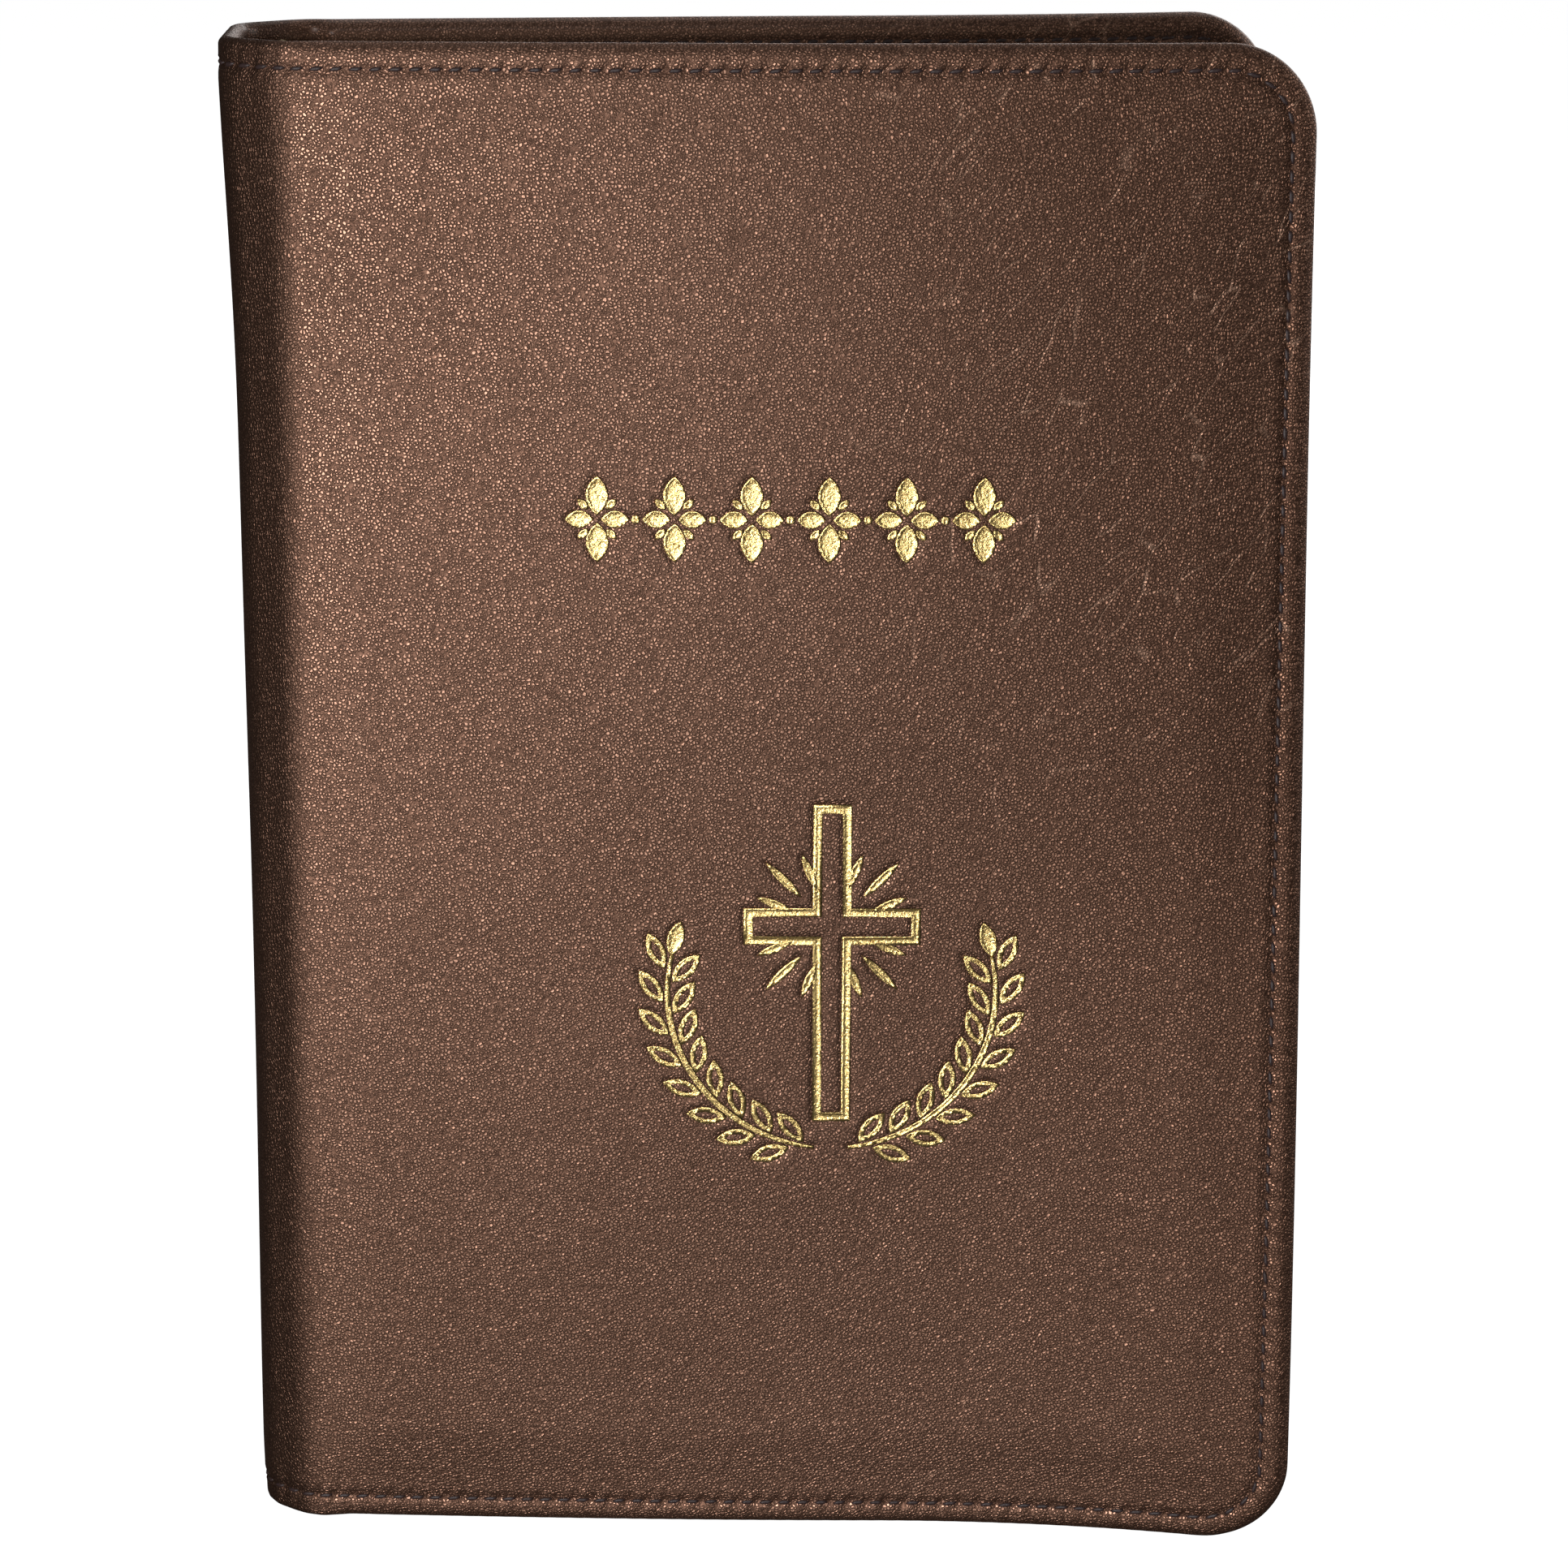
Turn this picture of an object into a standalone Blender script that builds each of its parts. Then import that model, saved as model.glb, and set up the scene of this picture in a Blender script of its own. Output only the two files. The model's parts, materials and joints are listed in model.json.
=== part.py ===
"""Padded, leather-bound bible, standing closed on its tail edge.

Units are metres. +Z is up, the spine is at -X, the fore-edge at +X and the front cover faces -Y.
Every piece is worked out in the book's own frame, where x = 0 is the line through both cover
hinges, y = 0 is the middle leaf and z = 0 the ground. An empty then shifts the whole book along X,
so that the world origin is under the middle of its box.

A cover turns about a vertical hinge on its outer face. The leaves are twenty sewn sections, each
with a hinge of its own where its leaves come out of the sewn folds. The section hinges lie on two
diagonals, so that neighbouring sections fan out without running into each other.
"""
import math

import bmesh
import bpy
from mathutils import Matrix, Vector

# Driving dimensions
HEIGHT = 0.200                # head to tail of the covers
COVER_END = 0.1303            # hinge line to the fore-edge of a cover
SPINE_DEPTH = 0.0080          # hinge line to the back of the spine
CORNER_RADIUS = 0.0115        # rounded fore-edge corners of the covers
SECTIONS_PER_HALF = 10
SECTION_PITCH = 0.0012        # thickness of one sewn section, with the air beside it
LEAF_SQUARE = 0.0045          # how far the covers stand past the leaves at head and tail
LEAF_END = 0.1245             # hinge line to the fore-edge of the leaves
SPLAY = math.radians(2.4)     # how far each cover leans open while the book stands
BOW_RISE = 0.0050             # outward bow of a cover at its fore-edge

# Clearances
HAIR = 0.00015                # between glued or pressed layers
CLEARANCE = 0.0003            # between a moving piece and its hinge line

# The leaves
SECTION_THICKNESS = SECTION_PITCH - HAIR
BLOCK_HALF = SECTIONS_PER_HALF * SECTION_PITCH
LEAF_CORNER = 0.006
LEAF_CORNER_STEPS = 6
FLYLEAF_THICKNESS = 0.0002
FLYLEAF_Y = BLOCK_HALF + HAIR + FLYLEAF_THICKNESS / 2
FLYLEAF_HINGE_X = 0.0002
HINGE_DIAGONAL = BLOCK_HALF + 0.0004      # a section hinge's x is this less its |y|
FOLDS_SETBACK = 0.00107                   # from the section hinges to the sewn folds, along X
FOLDS_BACK = -0.0030
LARGEST_TURN = 0.47                       # an outermost section's turn for one turn of its cover
FLYLEAF_TURN = 0.49

# A cover, from the inside out, as distances from the middle leaf
COVER_START = CLEARANCE
COVER_INSIDE = FLYLEAF_Y + FLYLEAF_THICKNESS / 2 + HAIR
COVER_THICKNESS = 0.0040
COVER_OUTSIDE = COVER_INSIDE + COVER_THICKNESS
LINING_THICKNESS = 0.00025
BOARD_THICKNESS = 0.0008
FOAM_THICKNESS = 0.00065
TURN_IN_THICKNESS = 0.0007
LINING_RECESS = LINING_THICKNESS + HAIR
POCKET_INSIDE = COVER_INSIDE + LINING_RECESS + TURN_IN_THICKNESS
POCKET_OUTSIDE = POCKET_INSIDE + BOARD_THICKNESS + FOAM_THICKNESS + 3 * HAIR
EDGE_ROUND = 0.0016
POCKET_INSET = 0.0013
LINING_INSET = 0.0050
TURN_IN_WIDTH = 0.0120
SMALLEST_CORNER = 0.002
COVER_CORNER_STEPS = 10
BOW_START = 0.075             # the cover is flat from its hinge to here
BOW_STEPS = 5

# The spine
SPINE_HALF = COVER_OUTSIDE - CLEARANCE
SPINE_ROUND = 0.0070
SPINE_CORNER_STEPS = 9
SPINE_SKIN = 0.0012
SPINE_INLAY_MARGIN = 0.003
GAUZE_MARGIN = 0.014          # the gauze stops this far short of head and tail
INLAY_THICKNESS = 0.0005
INLAY_HALF = SPINE_HALF - SPINE_ROUND - 2 * HAIR
SPINE_LINING = 0.0003
HEADBAND_RADIUS = 0.0010

# Stitching
STITCH_INSET = 0.0033
GROOVE_RADIUS = 0.00055
THREAD_RADIUS = 0.00025
THREAD_SINK = 0.0002
STITCH_START = 0.0025
SPINE_STITCH_START = 0.0008

# Foil ornaments on the front cover
FOIL_THICKNESS = 0.0001
FOIL_LIFT = 0.00005
TITLE_LEFT = 0.0346
TITLE_RIGHT = 0.0928
TITLE_MIDDLE = 0.1398
TITLE_LOZENGES = 6
TITLE_HALF_HEIGHT = 0.0057
TITLE_RULE = 0.0008
EMBLEM_X = 0.0693
EMBLEM_CROSSING = 0.0842
ARM_HALF_WIDTH = 0.0019
ARM_UP = 0.0178
ARM_SIDE = 0.0155
ARM_DOWN = 0.0312
RAY_LENGTH = 0.0145
RAY_VALLEY = 0.0042

BOOK_SHIFT = (SPINE_DEPTH - COVER_END) / 2
COLOURS = {
    "leather": ((0.165, 0.095, 0.048, 1), 0.42, 0.35),
    "thread": ((0.035, 0.022, 0.015, 1), 0.70, 0.0),
    "foil": ((0.83, 0.58, 0.22, 1), 0.30, 1.0),
    "foam": ((0.72, 0.70, 0.66, 1), 0.95, 0.0),
    "board": ((0.42, 0.40, 0.36, 1), 0.90, 0.0),
    "paper": ((0.86, 0.84, 0.77, 1), 0.80, 0.0),
    "endpaper": ((0.10, 0.055, 0.035, 1), 0.75, 0.0),
    "gauze": ((0.78, 0.75, 0.66, 1), 0.95, 0.0),
    "silk": ((0.45, 0.20, 0.06, 1), 0.50, 0.0),
}


def clear_scene():
    for old in list(bpy.data.objects):
        bpy.data.objects.remove(old, do_unlink=True)


def new_collection(name):
    collection = bpy.data.collections.new(name)
    bpy.context.scene.collection.children.link(collection)
    return collection


def material(slot):
    """The shared material of one kind of stuff."""
    known = bpy.data.materials.get(slot)
    if known:
        return known
    colour, roughness, metallic = COLOURS[slot]
    made = bpy.data.materials.new(slot)
    made.use_nodes = True
    shader = made.node_tree.nodes["Principled BSDF"]
    shader.inputs["Base Color"].default_value = colour
    shader.inputs["Roughness"].default_value = roughness
    shader.inputs["Metallic"].default_value = metallic
    return made


def arc(centre, radius, start, end, steps):
    """Points on a circle from one angle to another, both included, in degrees."""
    points = []
    for step in range(steps + 1):
        angle = math.radians(start + (end - start) * step / steps)
        points.append((centre[0] + radius * math.cos(angle), centre[1] + radius * math.sin(angle)))
    return points


def page_outline(left, right, bottom, top, radius, steps):
    """A rectangle with its two corners at the right rounded."""
    outline = [(left, bottom)]
    outline += arc((right - radius, bottom + radius), radius, -90, 0, steps)
    outline += arc((right - radius, top - radius), radius, 0, 90, steps)
    outline.append((left, top))
    return outline


def cover_outline(inset):
    """The outline of a cover, made smaller all round by the inset."""
    radius = max(CORNER_RADIUS - inset, SMALLEST_CORNER)
    return page_outline(COVER_START + inset, COVER_END - inset, inset, HEIGHT - inset, radius,
                        COVER_CORNER_STEPS)


def stitch_path():
    """The line of stitches on a cover: along the head, the fore-edge and the tail."""
    return page_outline(COVER_START + STITCH_START, COVER_END - STITCH_INSET, STITCH_INSET,
                        HEIGHT - STITCH_INSET, CORNER_RADIUS - STITCH_INSET, COVER_CORNER_STEPS)


def spine_path(inset):
    """The outer line of the spine seen from above, from the front hinge to the back hinge."""
    radius = SPINE_ROUND - inset
    middle_x = SPINE_ROUND - SPINE_DEPTH
    middle_y = SPINE_HALF - SPINE_ROUND
    path = arc((middle_x, -middle_y), radius, 270, 180, SPINE_CORNER_STEPS)
    path += arc((middle_x, middle_y), radius, 180, 90, SPINE_CORNER_STEPS)
    return path


def link(name, data):
    made = bpy.data.objects.new(name, data)
    parts.objects.link(made)
    return made


def to_mesh(thing):
    """Swap an object for a mesh object of its evaluated shape, in the book's frame."""
    bpy.context.view_layer.update()
    evaluated = thing.evaluated_get(bpy.context.evaluated_depsgraph_get())
    mesh = bpy.data.meshes.new_from_object(evaluated)
    mesh.transform(thing.matrix_world)
    name = thing.name
    bpy.data.objects.remove(thing, do_unlink=True)
    shape = bmesh.new()
    shape.from_mesh(mesh)
    bmesh.ops.remove_doubles(shape, verts=shape.verts, dist=1e-6)
    bmesh.ops.recalc_face_normals(shape, faces=shape.faces)
    shape.to_mesh(mesh)
    shape.free()
    return link(name, mesh)


def outline_solid(name, outline, thickness, matrix, edge_round=0.0):
    """A flat outline in local XY, given a thickness along local Z and round edges if wanted."""
    curve = bpy.data.curves.new(name, "CURVE")
    curve.dimensions = "2D"
    curve.fill_mode = "BOTH"
    curve.extrude = thickness / 2 - edge_round
    curve.bevel_depth = edge_round
    curve.bevel_resolution = 2
    spline = curve.splines.new("POLY")
    spline.points.add(len(outline) - 1)
    for point, (x, y) in zip(spline.points, outline):
        point.co = (x, y, 0, 1)
    spline.use_cyclic_u = True
    thing = link(name, curve)
    thing.matrix_world = matrix
    return to_mesh(thing)


def plate(name, outline, inside, outside, edge_round=0.0):
    """An upright plate: its outline in XZ, and its thickness from one y to another."""
    matrix = Matrix.Translation((0, (inside + outside) / 2, 0)) @ Matrix.Rotation(math.pi / 2, 4, "X")
    return outline_solid(name, outline, outside - inside, matrix, edge_round)


def prism(name, outline, bottom, top):
    """A plan outline in XY, given a height along Z."""
    matrix = Matrix.Translation((0, 0, (bottom + top) / 2))
    return outline_solid(name, outline, top - bottom, matrix)


def tube(name, points, radius, resolution=2):
    """A round tube along a route of points."""
    curve = bpy.data.curves.new(name, "CURVE")
    curve.dimensions = "3D"
    curve.bevel_depth = radius
    curve.bevel_resolution = resolution
    curve.use_fill_caps = True
    spline = curve.splines.new("POLY")
    spline.points.add(len(points) - 1)
    for point, place in zip(spline.points, points):
        point.co = (*place, 1)
    return to_mesh(link(name, curve))


def box(name, low, high):
    bpy.ops.mesh.primitive_cube_add(size=1)
    thing = bpy.context.object
    thing.name = name
    for collection in list(thing.users_collection):
        collection.objects.unlink(thing)
    parts.objects.link(thing)
    low = Vector(low)
    high = Vector(high)
    middle = (low + high) / 2
    size = high - low
    thing.matrix_world = Matrix.Translation(middle) @ Matrix.Diagonal((*size, 1))
    return to_mesh(thing)


def cut(thing, cutters):
    """Take each cutter out of a solid, and remove the cutters."""
    for cutter in cutters:
        parts.objects.unlink(cutter)
        cutter_collection.objects.link(cutter)
        cutter.hide_render = True
        cutter.display_type = "WIRE"
        modifier = thing.modifiers.new(cutter.name, "BOOLEAN")
        modifier.operation = "DIFFERENCE"
        modifier.solver = "EXACT"
        modifier.object = cutter
    finished = to_mesh(thing)
    for cutter in cutters:
        bpy.data.objects.remove(cutter, do_unlink=True)
    return finished


def bow_station(step):
    return BOW_START + (COVER_END - BOW_START) * step / BOW_STEPS


def bow(x):
    """How far a cover bows outward: straight runs between stations on a parabola."""
    position = (x - BOW_START) / (COVER_END - BOW_START) * BOW_STEPS
    if position <= 0:
        return 0.0
    step = min(int(position), BOW_STEPS - 1)
    low = BOW_RISE * (step / BOW_STEPS) ** 2
    high = BOW_RISE * ((step + 1) / BOW_STEPS) ** 2
    return low + (high - low) * (position - step)


def bend_outward(thing):
    """Give a cover piece the bow. It is cut at the stations first, so its layers stay parallel."""
    shape = bmesh.new()
    shape.from_mesh(thing.data)
    bmesh.ops.triangulate(shape, faces=shape.faces)
    for step in range(BOW_STEPS):
        everything = shape.verts[:] + shape.edges[:] + shape.faces[:]
        bmesh.ops.bisect_plane(shape, geom=everything, dist=1e-7,
                               plane_co=(bow_station(step), 0, 0), plane_no=(1, 0, 0))
    for vertex in shape.verts:
        vertex.co.y += bow(vertex.co.x)
    shape.to_mesh(thing.data)
    shape.free()


def to_side(thing, side):
    """Pieces are made for the back of the book, +Y. The front's are their mirror images."""
    if side < 0:
        thing.data.transform(Matrix.Scale(-1, 4, (0, 1, 0)))
        thing.data.flip_normals()


def hang(thing, empty, slot):
    """Put a piece on its hinge: its origin goes there and it leans with it."""
    thing.data.transform(Matrix.Translation(-Vector(empty["hinge"])))
    thing.parent = empty
    thing.data.materials.clear()
    thing.data.materials.append(material(slot))
    thing.data.shade_smooth()
    thing.data.set_sharp_from_angle(angle=math.radians(35))


def hinge(name, x, y, turn):
    """An empty on a vertical hinge line, turned by the lean that its piece has at rest."""
    empty = bpy.data.objects.new(name, None)
    empty["hinge"] = (x, y, 0.0)
    empty.location = (x, y, 0)
    empty.rotation_euler = (0, 0, math.copysign(turn, y))
    empty.empty_display_size = 0.01
    empty.parent = book
    parts.objects.link(empty)
    return empty


def tube_on_cover(name, sink, radius):
    """A tube along a cover's line of stitches, sunk into the outer face."""
    points = []
    for x, z in stitch_path():
        points.append((x, COVER_OUTSIDE - sink, z))
    return tube(name, points, radius)


def leather_shell(name):
    """A cover's leather: face, rolled edges and turn-ins, open on the inside for the lining."""
    leather = plate(name, cover_outline(EDGE_ROUND), COVER_INSIDE, COVER_OUTSIDE, EDGE_ROUND)
    outside_air = COVER_INSIDE - 0.001
    lining_floor = COVER_INSIDE + LINING_RECESS
    lining_recess = plate("lining_recess", cover_outline(LINING_INSET), outside_air, lining_floor)
    mouth = plate("mouth", cover_outline(LINING_INSET + TURN_IN_WIDTH), outside_air,
                  POCKET_INSIDE + HAIR)
    pocket = plate("pocket", cover_outline(POCKET_INSET), POCKET_INSIDE, POCKET_OUTSIDE)
    groove = tube_on_cover("groove", 0.0, GROOVE_RADIUS)
    return cut(leather, [lining_recess, mouth, pocket, groove])


def make_cover(side, word):
    """Leather, foam, board, lining and stitching of one cover."""
    empty = hinge(word + "_cover_hinge", 0, side * COVER_OUTSIDE, SPLAY)
    board_inside = POCKET_INSIDE + HAIR
    foam_inside = board_inside + BOARD_THICKNESS + HAIR
    filling = cover_outline(POCKET_INSET + CLEARANCE)
    lining = cover_outline(LINING_INSET + CLEARANCE)
    pieces = [
        (leather_shell(word + "_cover_leather"), "leather"),
        (plate(word + "_board", filling, board_inside, board_inside + BOARD_THICKNESS), "board"),
        (plate(word + "_foam", filling, foam_inside, foam_inside + FOAM_THICKNESS), "foam"),
        (plate(word + "_lining", lining, COVER_INSIDE, COVER_INSIDE + LINING_THICKNESS), "endpaper"),
        (tube_on_cover(word + "_stitching", THREAD_SINK, THREAD_RADIUS), "thread"),
    ]
    for piece, slot in pieces:
        bend_outward(piece)
        to_side(piece, side)
        hang(piece, empty, slot)
    return empty


def title_outline():
    """A row of lozenges strung on a rule, as one outline."""
    pitch = (TITLE_RIGHT - TITLE_LEFT) / TITLE_LOZENGES
    upper = []
    for number in range(TITLE_LOZENGES):
        left = TITLE_LEFT + number * pitch
        upper.append((left, TITLE_RULE))
        upper.append((left + pitch / 2, TITLE_HALF_HEIGHT))
    upper.append((TITLE_RIGHT, TITLE_RULE))
    lower = [(x, -height) for x, height in reversed(upper)]
    return [(x, TITLE_MIDDLE + height) for x, height in upper + lower]


def emblem_outline():
    """A plain Latin cross with three short rays in each quarter, as one outline."""
    arms = {0: ARM_SIDE, 90: ARM_UP, 180: ARM_SIDE, 270: ARM_DOWN}
    points_of_star = 16
    step = 360 / points_of_star
    outline = []
    for number in range(points_of_star):
        angle = number * step
        along = Vector((math.cos(math.radians(angle)), math.sin(math.radians(angle))))
        across = Vector((-along.y, along.x))
        if angle in arms:
            root = along * RAY_VALLEY
            tip = along * arms[angle]
            width = across * ARM_HALF_WIDTH
            corners = [root - width, tip - width, tip + width, root + width]
        else:
            valley = math.radians(angle - step / 2)
            corners = [along * RAY_LENGTH]
            if (number - 1) % 4:
                corners.insert(0, Vector((math.cos(valley), math.sin(valley))) * RAY_VALLEY)
        outline += corners
    return [(EMBLEM_X + corner.x, EMBLEM_CROSSING + corner.y) for corner in outline]


def make_foils(empty):
    """The gilt row and the gilt emblem, just proud of the front cover's face."""
    inside = COVER_OUTSIDE + FOIL_LIFT
    for name, outline in (("title_foil", title_outline()), ("emblem_foil", emblem_outline())):
        foil = plate(name, outline, inside, inside + FOIL_THICKNESS)
        bend_outward(foil)
        to_side(foil, -1)
        hang(foil, empty, "foil")


def section_turn(place):
    """A section's turn for one turn of its cover. Place 0 is the outermost section."""
    return LARGEST_TURN * (SECTIONS_PER_HALF - 0.5 - place) / (SECTIONS_PER_HALF - 0.5)


def make_leaf_solid(name, hinge_x, distance, thickness, side, turn, slot):
    """A section or a flyleaf: it starts just past its hinge and ends at the leaves' fore-edge."""
    outline = page_outline(hinge_x + CLEARANCE, LEAF_END, LEAF_SQUARE, HEIGHT - LEAF_SQUARE,
                           LEAF_CORNER, LEAF_CORNER_STEPS)
    leaves = plate(name, outline, distance - thickness / 2, distance + thickness / 2)
    to_side(leaves, side)
    hang(leaves, hinge(name + "_hinge", hinge_x, side * distance, SPLAY * turn), slot)


def make_sections():
    """Sections are numbered from the front cover to the back cover."""
    for number in range(1, 2 * SECTIONS_PER_HALF + 1):
        front = number <= SECTIONS_PER_HALF
        place = number - 1 if front else 2 * SECTIONS_PER_HALF - number
        distance = BLOCK_HALF - (place + 0.5) * SECTION_PITCH
        make_leaf_solid(f"section_{number:02d}", HINGE_DIAGONAL - distance, distance,
                        SECTION_THICKNESS, -1 if front else 1, section_turn(place), "paper")


def make_flyleaves():
    for side, word in ((-1, "front"), (1, "back")):
        make_leaf_solid(word + "_flyleaf", FLYLEAF_HINGE_X, FLYLEAF_Y, FLYLEAF_THICKNESS, side,
                        FLYLEAF_TURN, "endpaper")


def make_sewn_folds(empty):
    """The sewn and glued folds: their open side runs along both diagonals of section hinges."""
    ridge = HINGE_DIAGONAL - FOLDS_SETBACK
    shoulder = ridge - BLOCK_HALF
    outline = [(FOLDS_BACK, -BLOCK_HALF), (shoulder, -BLOCK_HALF), (ridge, 0),
               (shoulder, BLOCK_HALF), (FOLDS_BACK, BLOCK_HALF)]
    hang(prism("sewn_folds", outline, LEAF_SQUARE, HEIGHT - LEAF_SQUARE), empty, "paper")


def make_spine_linings(empty):
    """Gauze and paper glued behind the folds, and the card inlay glued inside the leather."""
    gauze_back = FOLDS_BACK - HAIR
    paper_back = gauze_back - SPINE_LINING - HAIR
    inlay_back = -SPINE_DEPTH + SPINE_SKIN + HAIR
    layers = [
        ("spine_gauze", gauze_back - SPINE_LINING, gauze_back, BLOCK_HALF, GAUZE_MARGIN, "gauze"),
        ("spine_lining_paper", paper_back - SPINE_LINING, paper_back, BLOCK_HALF - HAIR,
         LEAF_SQUARE, "paper"),
        ("spine_inlay", inlay_back, inlay_back + INLAY_THICKNESS, INLAY_HALF, SPINE_INLAY_MARGIN,
         "board"),
    ]
    for name, back, front, half, margin, slot in layers:
        low = (back, -half, margin)
        high = (front, half, HEIGHT - margin)
        hang(box(name, low, high), empty, slot)


def make_headbands(empty):
    """A silk-covered cord across the folds at the head and at the tail."""
    x = FOLDS_BACK + HEADBAND_RADIUS
    rise = LEAF_SQUARE - HAIR - HEADBAND_RADIUS
    for name, z in (("headband_head", HEIGHT - rise), ("headband_tail", rise)):
        ends = [(x, -BLOCK_HALF, z), (x, BLOCK_HALF, z)]
        hang(tube(name, ends, HEADBAND_RADIUS, 3), empty, "silk")


def tube_on_spine(name, sink, radius, z):
    """A tube round the spine at one height, sunk into the leather."""
    path = spine_path(sink)
    start = (-SPINE_STITCH_START, path[0][1])
    end = (-SPINE_STITCH_START, path[-1][1])
    points = [(x, y, z) for x, y in [start] + path + [end]]
    return tube(name, points, radius)


def make_spine_leather(empty):
    """The leather over the spine, a C seen from above, with its stitches at head and tail."""
    outer = [(0, -SPINE_HALF)] + spine_path(0.0) + [(0, SPINE_HALF)]
    inner = [(0, SPINE_SKIN - SPINE_HALF)] + spine_path(SPINE_SKIN) + [(0, SPINE_HALF - SPINE_SKIN)]
    leather = prism("spine_leather", outer + inner[::-1], 0, HEIGHT)
    heights = {"head": HEIGHT - STITCH_INSET, "tail": STITCH_INSET}
    grooves = [tube_on_spine("groove_" + end, 0.0, GROOVE_RADIUS, z) for end, z in heights.items()]
    hang(cut(leather, grooves), empty, "leather")
    for end, z in heights.items():
        stitches = tube_on_spine("spine_stitching_" + end, THREAD_SINK, THREAD_RADIUS, z)
        hang(stitches, empty, "thread")


def make_spine():
    """Everything that stays with the spine."""
    empty = bpy.data.objects.new("spine_frame", None)
    empty["hinge"] = (0.0, 0.0, 0.0)
    empty.parent = book
    parts.objects.link(empty)
    make_spine_leather(empty)
    make_spine_linings(empty)
    make_sewn_folds(empty)
    make_headbands(empty)


clear_scene()
parts = new_collection("bible")
cutter_collection = new_collection("cutters")
book = bpy.data.objects.new("book", None)
book.location = (BOOK_SHIFT, 0, 0)
parts.objects.link(book)
make_spine()
front = make_cover(-1, "front")
make_foils(front)
make_cover(1, "back")
make_flyleaves()
make_sections()
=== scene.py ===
"""Looks of the padded leather bible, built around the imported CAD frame.

Units are metres. +Z is up, the spine is at -X and the front cover faces -Y. Shapes are worked out
in the book's own frame, where x = 0 is the line through both cover hinges and y = 0 the middle
leaf. A place on the leather is (s, z, depth): s runs from the middle of the spine's back round to
the fore-edge of a cover, z is the height, and depth goes inwards from the outer face.
"""
import json
import math

import bmesh
import bpy
import numpy as np
from mathutils import Matrix, Vector
from mathutils.geometry import delaunay_2d_cdt


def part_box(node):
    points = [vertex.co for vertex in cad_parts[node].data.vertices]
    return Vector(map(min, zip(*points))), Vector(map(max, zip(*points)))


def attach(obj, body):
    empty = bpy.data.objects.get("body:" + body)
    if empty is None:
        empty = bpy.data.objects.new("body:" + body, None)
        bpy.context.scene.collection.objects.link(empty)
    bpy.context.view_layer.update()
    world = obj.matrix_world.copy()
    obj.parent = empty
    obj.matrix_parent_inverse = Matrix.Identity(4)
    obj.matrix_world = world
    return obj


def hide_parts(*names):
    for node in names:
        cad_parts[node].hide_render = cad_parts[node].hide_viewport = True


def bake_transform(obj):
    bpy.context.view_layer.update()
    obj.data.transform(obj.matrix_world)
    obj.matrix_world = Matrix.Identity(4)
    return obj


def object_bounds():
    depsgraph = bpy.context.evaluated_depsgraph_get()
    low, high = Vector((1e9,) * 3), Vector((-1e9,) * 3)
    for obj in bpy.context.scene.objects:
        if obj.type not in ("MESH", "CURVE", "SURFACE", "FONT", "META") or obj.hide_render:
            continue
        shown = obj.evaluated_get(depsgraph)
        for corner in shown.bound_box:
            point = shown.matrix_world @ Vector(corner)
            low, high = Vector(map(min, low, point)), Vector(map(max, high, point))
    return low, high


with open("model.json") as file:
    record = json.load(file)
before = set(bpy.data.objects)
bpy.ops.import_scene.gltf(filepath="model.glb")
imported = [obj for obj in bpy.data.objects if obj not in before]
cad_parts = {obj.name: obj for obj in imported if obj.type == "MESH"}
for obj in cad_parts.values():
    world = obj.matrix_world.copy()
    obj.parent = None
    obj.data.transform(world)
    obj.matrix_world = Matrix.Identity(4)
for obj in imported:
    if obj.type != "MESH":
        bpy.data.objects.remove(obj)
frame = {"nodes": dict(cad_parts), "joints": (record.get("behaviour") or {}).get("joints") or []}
cad_low, cad_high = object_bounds()
joints = {joint["name"]: joint for joint in frame["joints"]}
MM = 0.001

# The frame's own measures
HINGE_X = joints["front_cover_hinge"]["pos_m"][0]
HINGE_Y = abs(joints["front_cover_hinge"]["pos_m"][1])
HEIGHT = cad_high.z
COVER_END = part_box("front_cover_leather")[1].x - HINGE_X
SPINE_DEPTH = HINGE_X - cad_low.x
LEAF_LOW, LEAF_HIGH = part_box("section_10")
LEAF_END = LEAF_HIGH.x - HINGE_X
BLOCK_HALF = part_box("sewn_folds")[1].y
SIDES = {"front": -1, "back": 1}

# The leather
SPLAY = math.radians(2.4)
# Half the back is a flat, an arc of BACK_TURN, a slanted straight and a soft shoulder. The flat
# and the shoulder differ from tail to head, and the shoulder is softer still close to the head.
BACK_FLAT = (7.9 * MM, 6.5 * MM)
BACK_RADIUS = 7.0 * MM
BACK_TURN = math.radians(50)
SHOULDER_RADIUS = (8.0 * MM, 6.0 * MM)
PRESSED_FLAT = 5.0 * MM
CORNER = 11.5 * MM
COVER_THICKNESS = 4.0 * MM
SPINE_THICKNESS = 2.4 * MM
SPINE_SKIN = 0.9 * MM
JOINT_SKIN = 0.5 * MM
BOW_START = 75 * MM
FRONT_BOW = (8.5 * MM, -1.5 * MM)  # at the tail and at the head
BACK_BOW = (6.5 * MM, 7.0 * MM)
SPINE_WAIST = 0.40 * MM  # the spine is pulled in by this at mid height
HEAD_FLARE = 0.85 * MM  # and stands out by this at the head
CROWN = 1.6 * MM  # a padded cover is a little round from side to side
PUFF = 0.75 * MM
COARSE = 4  # a coarse panel has one column for this many of its ring's
CORNER_STEPS = 24

# Stitching
STITCH_INSET = 3.3 * MM
STITCH_PITCH = 2.5 * MM
STITCH_LENGTH = 2.1 * MM
STITCH_RADIUS = 0.23 * MM
VALLEY_DEPTH = 0.34 * MM
VALLEY_WIDTH = 0.75 * MM

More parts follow.
